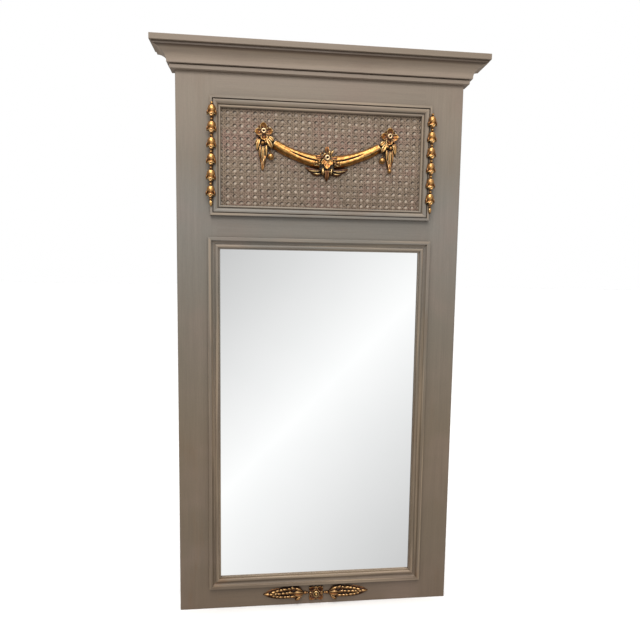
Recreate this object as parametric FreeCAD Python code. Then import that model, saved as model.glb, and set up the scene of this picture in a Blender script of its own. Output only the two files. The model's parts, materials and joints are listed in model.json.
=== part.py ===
import FreeCAD, Part
import math
import os

# A trumeau mirror: a painted frame of stiles and rails with a mirror below, a caned panel
# above it, mitred mouldings, a coved cornice, gilded ornament, and ring hangers behind.
# Millimetres. X runs to the viewer's right, Y runs back to the wall and Z runs up.
# The origin is on the plane of the wall, on the centre line, at the frame's bottom edge.

# ---------------------------------------------------------------- face frame
BOARD_THICKNESS = 18.0
STILE_WIDTH = 78.0
OPENING_WIDTH = 410.0
BOTTOM_RAIL_HEIGHT = 63.0
MIRROR_OPENING_HEIGHT = 689.5
MIDDLE_RAIL_HEIGHT = 74.5
PANEL_OPENING_HEIGHT = 195.0
TOP_RAIL_HEIGHT = 97.0
EDGE_ROUND = 1.5
TENON_THICKNESS = 6.0
TENON_LENGTH = 30.0
TENON_SHOULDER = 10.0
GLUE_GAP = 0.1
MORTISE_END_GAP = 0.8

# ------------------------------------------------------- mirror and its moulding
GLASS_THICKNESS = 4.0
MIRROR_BACK_THICKNESS = 3.0
PLATE_PLAY = 1.0
LIP_DEPTH = 2.0
LIP_PLAY = 0.2
MIRROR_LIP = 5.0
MIRROR_FILLET = 2.2
MIRROR_FLOOR = 1.5
MIRROR_BEAD_WIDTH = 7.6
MIRROR_BEAD_RISE = 3.8
MIRROR_GROOVE_WIDTH = 6.2
MIRROR_BAND_WIDTH = 7.0
MIRROR_BAND_HEIGHT = 7.6
BAND_ROUND = 1.0

# -------------------------------------------------- caned panel and its moulding
CANE_THICKNESS = 1.5
PANEL_BOARD_THICKNESS = 4.0
PANEL_SIDE_LIP = 7.0
PANEL_END_LIP = 5.0
PANEL_FLOOR = 3.0
PANEL_BEAD_WIDTH = 4.2
PANEL_BEAD_RISE = 2.1
PANEL_QUIRK = 1.0
PANEL_OVOLO_WIDTH = 8.0
PANEL_OVOLO_HEIGHT = 8.5
PANEL_GROOVE_WIDTH = 2.0
PANEL_GROOVE_FLOOR = 5.5
PANEL_BAND_WIDTH = 4.8
PANEL_BAND_HEIGHT = 9.5

# --------------------------------------------------- strips that hold the plates
STRIP_SIZE = 8.0
STRIP_END_GAP = 0.3
BRAD_SIZE = 1.4
BRAD_BITE = 9.0
BRAD_END_SPACE = 30.0

# ------------------------------------------------------------------- cornice
CAP_THICKNESS = 11.0
CAP_PROJECTION = 39.0
CROWN_HEIGHT = 28.0
CROWN_FOOT = 13.3
CROWN_FOOT_FILLET = 1.8
CROWN_COVE_RADIUS = 21.7
NECK_HEIGHT = 9.0
NECK_PROJECTION = 8.8
NECK_QUIRK_HEIGHT = 1.4
NECK_QUIRK_DEPTH = 2.5

# ---------------------------------------------------------------------- swag
SWAG_SHIFT = 9.0
SWAG_RAISE = 4.0
SWAG_ARC_RADIUS = 200.0
SWAG_ARC_OFFSET = 8.0
SWAG_ARC_LOW = 11.0
SWAG_ARM_START = 7.0
SWAG_ARM_END = 38.5
SWAG_ARM_WIDTH = 18.0
SWAG_ARM_HEIGHT = 10.0
SWAG_ARM_FACETS = 6
SWAG_CREASE_WIDTH = 1.6
SWAG_CREASE_DEPTH = 2.0
SWAG_CREASE_IN = 2.5
SIDE_FLOWER_TURN = 42.8
SIDE_FLOWER_IN = 5.4
FLOWER_REACH = 17.0
FLOWER_PETAL_WIDTH = 14.5
FLOWER_THICKNESS = 6.0
FLOWER_PETALS = 5
FLOWER_LIFT = 6.0
SEAT_RADIUS = 11.0
HUB_RADIUS = 4.4
HUB_HEIGHT = 3.0
HUB_HOLE_RADIUS = 1.3
HUB_HOLE_DEPTH = 1.5
LEAF_THICKNESS = 6.0
LEAF_WIDTH = 9.0
CROSS_LEAF_LENGTH = 23.0
BUD_LENGTH = 46.0
BUD_WIDTH = 13.0
WING_LENGTH = 40.0
WING_DROP = 25.0
WING_GAP = 4.0
DROP_LENGTH = 66.0
DROP_WIDTH = 15.0
FAN_LEAF_LENGTH = 36.0
FAN_LEAF_START = 6.0
BERRY_RADIUS = 6.2
BERRY_ACROSS = 13.5
BERRY_DOWN = 51.0
TIP_BALL_RADIUS = 3.1
FACETS = 10

# --------------------------------------------------------------- husk chains
HUSKS = 6
HUSK_PITCH = 31.0
HUSK_RADIUS = 7.8
HUSK_LIP_RADIUS = 9.4
HUSK_NECK_RADIUS = 1.6
HUSK_BEAD_RADIUS = 2.7
HUSK_SEED_RADIUS = 4.3
HUSK_TIP_RADIUS = 0.6
HUSK_FACETS = 8
HUSK_RAISE = 3.5

# ------------------------------------------------- rosette and its two sprays
ROSETTE_REACH = 15.5
ROSETTE_PETAL_WIDTH = 13.0
ROSETTE_THICKNESS = 5.0
SPRAY_START = 17.5
SPRAY_STEM = 12.0
SPRAY_LENGTH = 82.0
SPRAY_WIDTH = 29.0
SPRAY_CORE = 2.5
SPRAY_ROWS = 3
SPRAY_GRAINS = 6
GRAIN_LENGTH = 17.0
GRAIN_WIDTH = 8.5
GRAIN_HEIGHT = 6.5

# ---------------------------------------------------------- wall fittings
BUMPER_RADIUS = 6.0
BUMPER_INSET = 22.0
BUMPER_MARGIN = 0.3
RING_WIRE_RADIUS = 1.25
RING_BOW_STEPS = 8
RING_INSIDE_WIDTH = 20.0
RING_INSIDE_HEIGHT = 16.0
RING_CORNER = 3.0
RING_SEAT_GAP = 0.1
STRAP_THICKNESS = 1.0
STRAP_WIDTH = 15.0
STRAP_LENGTH = 34.0
EYE_PLAY = 0.1
HANGER_DROP = 239.0
STRAP_SCREW_FIRST = 9.0
STRAP_SCREW_SPACING = 18.5
SCREW_RADIUS = 1.75
SCREW_LENGTH = 14.0
SCREW_HEAD_RADIUS = 3.5
SCREW_HEAD_HEIGHT = 2.0

# ------------------------------------------------------------ derived places
HALF_OPENING = OPENING_WIDTH / 2
HALF_FRAME = HALF_OPENING + STILE_WIDTH
MIRROR_LOW = BOTTOM_RAIL_HEIGHT
MIRROR_HIGH = MIRROR_LOW + MIRROR_OPENING_HEIGHT
PANEL_LOW = MIRROR_HIGH + MIDDLE_RAIL_HEIGHT
PANEL_HIGH = PANEL_LOW + PANEL_OPENING_HEIGHT
PANEL_MIDDLE = (PANEL_LOW + PANEL_HIGH) / 2
FRAME_TOP = PANEL_HIGH + TOP_RAIL_HEIGHT
EYE_INSIDE = RING_WIRE_RADIUS + EYE_PLAY
EYE_OUTSIDE = EYE_INSIDE + STRAP_THICKNESS
BUMPER_THICKNESS = 2 * EYE_OUTSIDE + BUMPER_MARGIN
BACK = -BUMPER_THICKNESS
FRONT = BACK - BOARD_THICKNESS
LIP_BACK = FRONT + LIP_DEPTH
MIRROR_MOULDING_WIDTH = MIRROR_FILLET + MIRROR_BEAD_WIDTH + MIRROR_GROOVE_WIDTH + MIRROR_BAND_WIDTH
PANEL_GROOVE_AT = PANEL_BEAD_WIDTH + PANEL_QUIRK + PANEL_OVOLO_WIDTH
PANEL_BAND_AT = PANEL_GROOVE_AT + PANEL_GROOVE_WIDTH
STILE_MIDDLE = HALF_OPENING + STILE_WIDTH / 2
SWAG_ARC_ABOVE = SWAG_ARC_RADIUS - SWAG_ARC_LOW
SIDE_FLOWER_OUT = SWAG_ARC_RADIUS - SIDE_FLOWER_IN
SIDE_FLOWER_ACROSS = SIDE_FLOWER_OUT * math.sin(math.radians(SIDE_FLOWER_TURN)) - SWAG_ARC_OFFSET
SIDE_FLOWER_UP = SWAG_ARC_ABOVE - SIDE_FLOWER_OUT * math.cos(math.radians(SIDE_FLOWER_TURN))
EYE_Y = BACK + EYE_OUTSIDE
EYE_Z = FRAME_TOP - HANGER_DROP
RING_HIGH = RING_INSIDE_HEIGHT + 2 * RING_WIRE_RADIUS
RING_LEAN = math.degrees(math.asin((EYE_OUTSIDE - RING_WIRE_RADIUS - RING_SEAT_GAP) / RING_HIGH))

FLAT = FreeCAD.Rotation()
UPRIGHT = FreeCAD.Rotation(FreeCAD.Vector(1, 0, 0), 90)


def vec(x, y, z=0.0):
    return FreeCAD.Vector(x, y, z)


def block(x0, x1, y0, y1, z0, z1):
    return Part.makeBox(x1 - x0, y1 - y0, z1 - z0, vec(x0, y0, z0))


def on_xy(a, b):
    return vec(a, b, 0.0)


def on_yz(a, b):
    return vec(0.0, a, b)


def on_xz(a, b):
    return vec(a, 0.0, b)


def face(place, start, *steps):
    """Face inside lines and arcs. A step is a corner, or the (middle, end) of an arc."""
    edges = []
    here = start
    for step in steps + (start,):
        if isinstance(step[0], tuple):
            middle, end = step
            edges.append(Part.Arc(place(*here), place(*middle), place(*end)).toShape())
        elif place(*here).distanceToPoint(place(*step)) > 1e-6:
            end = step
            edges.append(Part.LineSegment(place(*here), place(*end)).toShape())
        here = end
    return Part.Face(Part.Wire(edges))


def fuse(solids):
    """One solid from several that overlap."""
    return solids[0].multiFuse(solids[1:]).removeSplitter().Solids[0]


def moved(shape, x, y, z, rotation=FLAT):
    copy = shape.copy()
    copy.Placement = FreeCAD.Placement(vec(x, y, z), rotation).multiply(copy.Placement)
    return copy


def spin(degrees):
    return FreeCAD.Rotation(vec(0, 0, 1), degrees)


def mirrored(shape):
    """The left-hand twin of a right-hand piece."""
    return shape.mirror(vec(0, 0, 0), vec(1, 0, 0))


# ---------------------------------------------------------------- face frame
def stile(outer_is_right):
    """Upright board with its outer front edge eased and a blind mortise for each rail."""
    r = EDGE_ROUND
    bend = r * (1 - math.sqrt(0.5))
    section = face(
        on_xy,
        (HALF_OPENING, FRONT),
        (HALF_FRAME - r, FRONT),
        ((HALF_FRAME - bend, FRONT + bend), (HALF_FRAME, FRONT + r)),
        (HALF_FRAME, BACK),
        (HALF_OPENING, BACK),
    )
    board = section.extrude(vec(0, 0, FRAME_TOP))
    for low, high in rail_spans():
        depth = TENON_LENGTH + MORTISE_END_GAP
        board = board.cut(tenon(low, high, HALF_OPENING, HALF_OPENING + depth, GLUE_GAP))
    return board if outer_is_right else mirrored(board)


def rail_spans():
    """Bottom and top of the bottom, middle and top rails."""
    return (0.0, MIRROR_LOW), (MIRROR_HIGH, PANEL_LOW), (PANEL_HIGH, FRAME_TOP)


def tenon(low, high, x0, x1, gap=0.0):
    """The tongue at a rail's end, or with a gap the mortise that takes it."""
    middle = (FRONT + BACK) / 2
    half = TENON_THICKNESS / 2 + gap
    bottom, top = low + TENON_SHOULDER - gap, high - TENON_SHOULDER + gap
    return block(x0, x1, middle - half, middle + half, bottom, top)


def rail(low, high):
    """Cross board with a tenon at each end."""
    board = block(-HALF_OPENING, HALF_OPENING, FRONT, BACK, low, high)
    reach = HALF_OPENING + TENON_LENGTH
    return fuse([board, tenon(low, high, -reach, reach)])


# ------------------------------------------------------------------ mouldings
def moulding(section, run, mitres, at, outward, forward):
    """A straight run of moulding, each end cut square (0) or mitred outwards (1)."""
    start, end = run
    width = section.BoundBox.YMax
    long_start = start - mitres[0] * width
    long_end = end + mitres[1] * width
    bar = moved(section, long_start, 0, 0).extrude(vec(long_end - long_start, 0, 0))
    plan = face(on_xy, (start, 0), (end, 0), (long_end, width), (long_start, width))
    low, high = section.BoundBox.ZMin - 1, section.BoundBox.ZMax + 1
    piece = bar.common(moved(plan, 0, 0, low).extrude(vec(0, 0, high - low)))
    along = outward.cross(forward)
    turn = FreeCAD.Rotation(along, outward, forward, "XYZ")
    return moved(piece, at.x, at.y, at.z, turn)


def moulding_frame(section, half_width, low, high):
    """Four mitred lengths round a sight opening, on the face of the frame."""
    middle = (low + high) / 2
    half_height = (high - low) / 2
    forward = vec(0, -1, 0)
    sides = {
        "top": (half_width, vec(0, FRONT, high), vec(0, 0, 1)),
        "bottom": (half_width, vec(0, FRONT, low), vec(0, 0, -1)),
        "left": (half_height, vec(-half_width, FRONT, middle), vec(-1, 0, 0)),
        "right": (half_height, vec(half_width, FRONT, middle), vec(1, 0, 0)),
    }
    return {
        side: moulding(section, (-half, half), (1, 1), at, outward, forward)
        for side, (half, at, outward) in sides.items()
    }


def mirror_section():
    """Sight fillet, bead, hollow groove and a flat outer band. The lip enters the opening."""
    bead_end = MIRROR_FILLET + MIRROR_BEAD_WIDTH
    band_start = bead_end + MIRROR_GROOVE_WIDTH
    width, top, floor, r = MIRROR_MOULDING_WIDTH, MIRROR_BAND_HEIGHT, MIRROR_FLOOR, BAND_ROUND
    bend = r * (1 - math.sqrt(0.5))
    cove = (bead_end + 0.7 * MIRROR_GROOVE_WIDTH, floor + 0.3 * (top - r - floor))
    crest = (bead_end - MIRROR_BEAD_WIDTH / 2, floor + MIRROR_BEAD_RISE)
    return face(
        on_yz,
        (0, -LIP_DEPTH),
        (MIRROR_LIP - LIP_PLAY, -LIP_DEPTH),
        (MIRROR_LIP - LIP_PLAY, 0),
        (width, 0),
        (width, top - r),
        ((width - bend, top - bend), (width - r, top)),
        (band_start + r, top),
        ((band_start + bend, top - bend), (band_start, top - r)),
        (cove, (bead_end, floor)),
        (crest, (MIRROR_FILLET, floor)),
        (0, floor),
    )


def panel_section(lip):
    """Small bead, quirk, ovolo, groove and a thin outer band."""
    bead, ovolo = PANEL_BEAD_WIDTH, PANEL_BEAD_WIDTH + PANEL_QUIRK
    groove, band = PANEL_GROOVE_AT, PANEL_BAND_AT
    width, top, r = band + PANEL_BAND_WIDTH, PANEL_BAND_HEIGHT, BAND_ROUND
    bend = r * (1 - math.sqrt(0.5))
    climb = PANEL_OVOLO_HEIGHT - PANEL_FLOOR
    return face(
        on_yz,
        (0, -LIP_DEPTH),
        (lip - LIP_PLAY, -LIP_DEPTH),
        (lip - LIP_PLAY, 0),
        (width, 0),
        (width, top - r),
        ((width - bend, top - bend), (width - r, top)),
        (band, top),
        (band, PANEL_GROOVE_FLOOR),
        (groove, PANEL_GROOVE_FLOOR),
        (groove, PANEL_OVOLO_HEIGHT),
        ((ovolo + 0.3 * PANEL_OVOLO_WIDTH, PANEL_FLOOR + 0.75 * climb), (ovolo, PANEL_FLOOR)),
        (bead, PANEL_FLOOR),
        ((bead / 2, PANEL_FLOOR + PANEL_BEAD_RISE), (0, PANEL_FLOOR)),
    )


def panel_mouldings():
    """The sides and the ends have the same face and a lip that suits each opening edge."""
    half = HALF_OPENING - PANEL_SIDE_LIP
    low, high = PANEL_LOW + PANEL_END_LIP, PANEL_HIGH - PANEL_END_LIP
    sides = moulding_frame(panel_section(PANEL_SIDE_LIP), half, low, high)
    ends = moulding_frame(panel_section(PANEL_END_LIP), half, low, high)
    return {"top": ends["top"], "bottom": ends["bottom"], "left": sides["left"], "right": sides["right"]}


def mirror_mouldings():
    half = HALF_OPENING - MIRROR_LIP
    return moulding_frame(mirror_section(), half, MIRROR_LOW + MIRROR_LIP, MIRROR_HIGH - MIRROR_LIP)


# ------------------------------------------------------ plates and their strips
def plate(low, high, front, thickness):
    """Flat plate in an opening, with play all round."""
    half = HALF_OPENING - PLATE_PLAY
    return block(-half, half, front, front + thickness, low + PLATE_PLAY, high - PLATE_PLAY)


def strips(low, high, front):
    """Square strips round an opening, behind its plates."""
    back = front + STRIP_SIZE
    inner = HALF_OPENING - STRIP_SIZE
    side_low, side_high = low + STRIP_SIZE + STRIP_END_GAP, high - STRIP_SIZE - STRIP_END_GAP
    return {
        "top": block(-HALF_OPENING, HALF_OPENING, front, back, high - STRIP_SIZE, high),
        "bottom": block(-HALF_OPENING, HALF_OPENING, front, back, low, low + STRIP_SIZE),
        "left": block(-HALF_OPENING, -inner, front, back, side_low, side_high),
        "right": block(inner, HALF_OPENING, front, back, side_low, side_high),
    }


def spaced(start, end, count):
    """Evenly spaced places with one near each end."""
    first, last = start + BRAD_END_SPACE, end - BRAD_END_SPACE
    return [first + (last - first) * k / (count - 1) for k in range(count)]


def strip_brads(low, high, front, across, upright):
    """Square brads, driven through the strips into the edges of the opening."""
    half = BRAD_SIZE / 2
    y = front + STRIP_SIZE / 2
    inner, outer = HALF_OPENING - STRIP_SIZE, HALF_OPENING + BRAD_BITE
    brads = []
    for x in spaced(-HALF_OPENING, HALF_OPENING, across):
        for z0, z1 in ((high - STRIP_SIZE, high + BRAD_BITE), (low - BRAD_BITE, low + STRIP_SIZE)):
            brads.append(block(x - half, x + half, y - half, y + half, z0, z1))
    for z in spaced(low, high, upright):
        for x0, x1 in ((inner, outer), (-outer, -inner)):
            brads.append(block(x0, x1, y - half, y + half, z - half, z + half))
    return Part.makeCompound(brads)


# ------------------------------------------------------------------- cornice
def crown_section():
    """Cavetto that springs from a small fillet and rises to the cap."""
    foot, fillet, r = CROWN_FOOT, CROWN_FOOT_FILLET, CROWN_COVE_RADIUS
    bend = r * (1 - math.sqrt(0.5))
    middle = (foot + bend, fillet + r * math.sqrt(0.5))
    return face(
        on_yz,
        (0, 0),
        (foot, 0),
        (foot, fillet),
        (middle, (foot + r, fillet + r)),
        (foot + r, CROWN_HEIGHT),
        (0, CROWN_HEIGHT),
    )


def neck_section():
    """Flat band with eased edges and a quirk that parts it from the crown."""
    out, r = NECK_PROJECTION, BAND_ROUND
    bend = r * (1 - math.sqrt(0.5))
    top = NECK_HEIGHT - NECK_QUIRK_HEIGHT
    return face(
        on_yz,
        (0, 0),
        (out - r, 0),
        ((out - bend, bend), (out, r)),
        (out, top - r),
        ((out - bend, top - bend), (out - r, top)),
        (out - NECK_QUIRK_DEPTH, top),
        (out - NECK_QUIRK_DEPTH, NECK_HEIGHT),
        (0, NECK_HEIGHT),
    )


def cornice_runs(section, low):
    """A moulding along the front of the frame and back to the wall on both sides."""
    up, side, depth = vec(0, 0, 1), vec(1, 0, 0), BOARD_THICKNESS
    front = moulding(section, (-HALF_FRAME, HALF_FRAME), (1, 1), vec(0, FRONT, low), vec(0, -1, 0), up)
    left = moulding(section, (0, depth), (1, 0), vec(-HALF_FRAME, FRONT, low), side.negative(), up)
    right = moulding(section, (0, depth), (0, 1), vec(HALF_FRAME, BACK, low), side, up)
    return {"front": front, "left_return": left, "right_return": right}


def cap_board():
    """Square-edged shelf that closes the cornice, its three showing edges eased."""
    half, front = HALF_FRAME + CAP_PROJECTION, FRONT - CAP_PROJECTION
    board = block(-half, half, front, BACK, FRAME_TOP, FRAME_TOP + CAP_THICKNESS)
    showing = [e for e in board.Edges if abs(e.BoundBox.YMin - front) < 1e-6 and e.BoundBox.XLength > half]
    return board.makeFillet(BAND_ROUND, showing)


# --------------------------------------------------------- parts of ornament
def carved(outline, across, along):
    """A carving, flat behind: what an outline, a section across it and a profile along it share."""
    box = outline.BoundBox
    blank = outline.extrude(vec(0, 0, across.BoundBox.ZMax))
    blank = blank.common(across.extrude(vec(box.XMax, 0, 0)))
    return blank.common(moved(along, 0, box.YMin, 0).extrude(vec(0, box.YLength, 0)))


def leaf_plan(length, width):
    side = 0.35 * width
    near, far = 0.3 * length, 0.7 * length
    low, high = -width / 2, width / 2
    return face(on_xy, (0, 0), (near, low), (far, -side), (length, 0), (far, side), (near, high))


def leaf(length, width, height, x, y, degrees):
    """Pointed leaf with a ridge along its middle that falls to the tip."""
    half, thin = width / 2, 0.35 * height
    across = face(on_yz, (-half, 0), (half, 0), (half, thin), (0, height), (-half, thin))
    along = face(on_xz, (0, 0), (length, 0), (length, thin), (0.3 * length, height), (0, 0.8 * height))
    solid = carved(leaf_plan(length, width), across, along)
    return moved(solid, x, y, 0, spin(degrees))


def petal(length, width, height, degrees):
    """Broad petal, hollowed along its middle, that rises to a blunt tip."""
    half = width / 2
    near, far = 0.5 * length, 0.88 * length
    side = 0.7 * half
    outline = face(on_xy, (0, 0), (near, -half), (far, -side), (length, 0), (far, side), (near, half))
    across = face(on_yz, (-half, 0), (half, 0), (half, height), (0, 0.75 * height), (-half, height))
    along = face(on_xz, (0, 0), (length, 0), (length, height), (0, 0.6 * height))
    return moved(carved(outline, across, along), 0, 0, 0, spin(degrees))


def stack(rings):
    """Solid of flat faces through polygons that lie one above another, corner over corner."""
    faces = [Part.Face(Part.makePolygon(ring + ring[:1])) for ring in (rings[0], rings[-1])]
    for lower, upper in zip(rings, rings[1:]):
        for k in range(len(lower)):
            corners = [lower[k - 1], lower[k], upper[k], upper[k - 1], lower[k - 1]]
            faces.append(Part.Face(Part.makePolygon(corners)))
    return Part.makeSolid(Part.makeShell(faces))


def faceted(levels, x=0.0, y=0.0):
    """Upright boss with flat facets through the given (radius, height) levels."""
    turns = [2 * math.pi * k / FACETS for k in range(FACETS)]
    return stack([[vec(x + r * math.cos(t), y + r * math.sin(t), z) for t in turns] for r, z in levels])


def ball(radius, x, y):
    """A berry or bead, cut flat behind below its middle."""
    levels = ((0.85, 0), (1, 0.4), (0.75, 1), (0.3, 1.25))
    return faceted([(share * radius, height * radius) for share, height in levels], x, y)


def hub(base):
    """Raised eye of a flower with a dimple."""
    top = base + HUB_HEIGHT
    boss = faceted([(HUB_RADIUS, 0), (HUB_RADIUS, base + HUB_HEIGHT / 2), (0.8 * HUB_RADIUS, top)])
    return boss.cut(faceted([(HUB_HOLE_RADIUS, top - HUB_HOLE_DEPTH), (HUB_HOLE_RADIUS, top)]))


def flower(reach, petal_width, thickness, turn):
    """Petals about an eye, flat behind."""
    step = 360.0 / FLOWER_PETALS
    petals = [petal(reach, petal_width, thickness, turn + k * step) for k in range(FLOWER_PETALS)]
    return fuse([hub(thickness)] + petals)


# ---------------------------------------------------------------------- swag
def swag_arm():
    """Right arm: a rounded garland on an arc, with a crease along its upper half."""
    r, half = SWAG_ARC_RADIUS, SWAG_ARM_WIDTH / 2
    turns = [math.pi * k / SWAG_ARM_FACETS for k in range(SWAG_ARM_FACETS + 1)]
    section = face(on_xz, *[(r + half * math.cos(t), SWAG_ARM_HEIGHT * math.sin(t)) for t in turns])
    sweep = SWAG_ARM_END - SWAG_ARM_START
    axis = vec(0, 0, 1)
    arm = section.revolve(vec(0, 0, 0), axis, sweep)
    inner = r - SWAG_CREASE_IN - SWAG_CREASE_WIDTH / 2
    crease = face(
        on_xz,
        (inner, SWAG_ARM_HEIGHT),
        (inner + SWAG_CREASE_WIDTH, SWAG_ARM_HEIGHT),
        (inner + SWAG_CREASE_WIDTH / 2, SWAG_ARM_HEIGHT - SWAG_CREASE_DEPTH),
    )
    arm = arm.cut(crease.revolve(vec(0, 0, 0), axis, 0.6 * sweep))
    return moved(arm, -SWAG_ARC_OFFSET, SWAG_ARC_ABOVE, 0, spin(SWAG_ARM_START - 90))


def fan_leaf_place():
    """Where the leaf that lies over the arm's end springs, and its direction."""
    degrees = -127
    turn = math.radians(degrees)
    return FAN_LEAF_START * math.cos(turn), FAN_LEAF_START * math.sin(turn), degrees


def side_drop():
    """Backing disc under the right flower, leaves that hang from it, and a berry on its stalk."""
    low, length, width = LEAF_THICKNESS, FAN_LEAF_LENGTH, LEAF_WIDTH
    solids = [
        faceted([(SEAT_RADIUS, 0), (SEAT_RADIUS, FLOWER_LIFT)]),
        leaf(DROP_LENGTH, DROP_WIDTH, low, -1, -FAN_LEAF_START, -87.5),
        leaf(length, width, 0.8 * low, FAN_LEAF_START, -FAN_LEAF_START, -70),
        leaf(0.7 * length, 0.9 * width, 0.7 * low, 7, -0.6 * length, -75),
        leaf(length, 1.4 * width, 0.9 * low, *fan_leaf_place()),
        leaf(0.95 * length, 0.8 * width, 0.75 * low, -FAN_LEAF_START, -0.45 * length, -104),
        ball(BERRY_RADIUS, -BERRY_ACROSS, -BERRY_DOWN),
        ball(TIP_BALL_RADIUS, 1.6, -DROP_LENGTH - FAN_LEAF_START - TIP_BALL_RADIUS / 2),
    ]
    return moved(fuse(solids), SIDE_FLOWER_ACROSS, SIDE_FLOWER_UP, 0)


def arm_end_cover():
    """The room that the arm leaves for the backing disc and the leaf over its end."""
    high = vec(0, 0, 2 * SWAG_ARM_HEIGHT)
    x, y, degrees = fan_leaf_place()
    plan = moved(leaf_plan(FAN_LEAF_LENGTH, 1.4 * LEAF_WIDTH), x, y, 0, spin(degrees))
    beyond = Part.makeCylinder(SEAT_RADIUS, high.z)
    return moved(beyond.fuse(plan.extrude(high)), SIDE_FLOWER_ACROSS, SIDE_FLOWER_UP, 0)


def centre_flower():
    """Open flower on a cross of leaves, with two long leaves sweeping out on each side."""
    solids = [flower(FLOWER_REACH, FLOWER_PETAL_WIDTH, FLOWER_THICKNESS + FLOWER_LIFT, 54)]
    cross = FLOWER_THICKNESS + FLOWER_LIFT - 1
    for degrees in (0, 62, 90, 118, 180):
        solids.append(leaf(CROSS_LEAF_LENGTH, LEAF_WIDTH, cross, 0, 0, degrees))
    solids.append(leaf(BUD_LENGTH, BUD_WIDTH, LEAF_THICKNESS, 0, 0, -90))
    high = LEAF_THICKNESS + 2
    for side in (-1, 1):
        turn = 90 - 90 * side
        wings = ((1.0, WING_DROP, 10), (0.65, WING_DROP + WING_GAP, -4), (0.7, WING_GAP, -83))
        for share, down, rise in wings:
            length = share * WING_LENGTH
            solids.append(leaf(length, LEAF_WIDTH, high, side * 5, -down, turn + side * rise))
    return fuse(solids)


def side_flower():
    """The right flower, seated on the backing disc and lying over the arm's end."""
    bloom = flower(FLOWER_REACH, FLOWER_PETAL_WIDTH, FLOWER_THICKNESS, 18)
    return moved(bloom, SIDE_FLOWER_ACROSS, SIDE_FLOWER_UP, FLOWER_LIFT)


def largest(shape):
    return max(shape.Solids, key=lambda solid: solid.Volume)


def swag():
    """Castings that lie on the cane: an arm stops where a flower or its leaves cover it."""
    centre, flower_r, drop_r = centre_flower(), side_flower(), side_drop()
    arm_r = swag_arm()
    for cover in (arm_end_cover(), centre, drop_r, flower_r):
        arm_r = largest(arm_r.cut(cover))
    pieces = {
        "swag_centre_flower": centre,
        "swag_right_flower": flower_r,
        "swag_right_arm": arm_r,
        "swag_right_drop": drop_r,
        "swag_left_flower": mirrored(flower_r),
        "swag_left_arm": mirrored(arm_r),
        "swag_left_drop": mirrored(drop_r),
    }
    z = PANEL_MIDDLE + SWAG_RAISE
    return {name: moved(piece, SWAG_SHIFT, LIP_BACK, z, UPRIGHT) for name, piece in pieces.items()}


# --------------------------------------------------------------- husk chains
def husk_outline(top):
    """One bellflower with its seed and the bead under it, from its neck down."""
    seed_y = top - 0.62 * HUSK_PITCH
    bead_y = top - 0.85 * HUSK_PITCH
    return [
        (HUSK_NECK_RADIUS, top),
        (0.8 * HUSK_RADIUS, top - 0.1 * HUSK_PITCH),
        (HUSK_RADIUS, top - 0.3 * HUSK_PITCH),
        (HUSK_LIP_RADIUS, top - 0.5 * HUSK_PITCH),
        (0.5 * HUSK_SEED_RADIUS, seed_y + 0.8 * HUSK_SEED_RADIUS),
        (HUSK_SEED_RADIUS, seed_y),
        (HUSK_NECK_RADIUS, seed_y - HUSK_SEED_RADIUS),
        (HUSK_BEAD_RADIUS, bead_y),
    ]


def husk_chain(side):
    """Bellflowers in a row, half round, seated on the band of the panel moulding."""
    top = HUSKS * HUSK_PITCH / 2
    levels = [level for k in range(HUSKS) for level in husk_outline(top - k * HUSK_PITCH)]
    levels.append((HUSK_TIP_RADIUS, -top))
    turns = [math.pi * k / HUSK_FACETS for k in range(HUSK_FACETS + 1)]
    chain = stack([[vec(r * math.cos(t), y, r * math.sin(t)) for t in turns] for r, y in levels])
    x = HALF_OPENING - PANEL_SIDE_LIP + PANEL_BAND_AT + PANEL_BAND_WIDTH / 2
    return moved(chain, side * x, FRONT - PANEL_BAND_HEIGHT, PANEL_MIDDLE + HUSK_RAISE, UPRIGHT)


# ------------------------------------------------- rosette and its two sprays
def grain(x, y, degrees):
    """A pointed grain of the spray: a low lozenge with a small flat top."""
    rings = []
    for scale, z in ((1.0, 0.0), (0.3, GRAIN_HEIGHT)):
        long, wide = scale * GRAIN_LENGTH / 2, scale * GRAIN_WIDTH / 2
        rings.append([vec(-long, 0, z), vec(0, -wide, z), vec(long, 0, z), vec(0, wide, z)])
    return moved(stack(rings), x, y, 0, spin(degrees))


def spray():
    """Right spray: a beaded stem, a cup, and rows of grains on a leaf-shaped core."""
    start = SPRAY_START + SPRAY_STEM
    half_width = SPRAY_WIDTH / 2
    core = leaf(SPRAY_LENGTH, SPRAY_WIDTH, SPRAY_CORE, start, 0, 0)
    cup = leaf(0.34 * SPRAY_LENGTH, 0.72 * SPRAY_WIDTH, GRAIN_HEIGHT + 1, start - 4, 0, 0)
    stem = block(SPRAY_START, start + 4, -1.2, 1.2, 0, 2.4)
    solids = [core, cup, stem, ball(2.6, SPRAY_START + 5.5, 0)]
    body = SPRAY_LENGTH - 0.24 * SPRAY_LENGTH
    for row in range(SPRAY_ROWS):
        side = row - (SPRAY_ROWS - 1) / 2
        for k in range(SPRAY_GRAINS):
            along = (k + 0.5) / SPRAY_GRAINS
            taper = math.sin(math.pi * (0.28 + 0.64 * along))
            x = start + 0.2 * SPRAY_LENGTH + along * body - GRAIN_LENGTH * 0.3
            y = side * (half_width - GRAIN_WIDTH / 2) * taper
            solids.append(grain(x, y, -side * 14))
    return fuse(solids)


def bottom_ornament():
    """Rosette and sprays, centred on what shows of the bottom rail."""
    z = (MIRROR_LOW + MIRROR_LIP - MIRROR_MOULDING_WIDTH) / 2
    right = spray()
    rosette = flower(ROSETTE_REACH, ROSETTE_PETAL_WIDTH, ROSETTE_THICKNESS, 90)
    pieces = {"bottom_rosette": rosette, "bottom_right_spray": right, "bottom_left_spray": mirrored(right)}
    return {name: moved(piece, 0, FRONT, z, UPRIGHT) for name, piece in pieces.items()}


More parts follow.
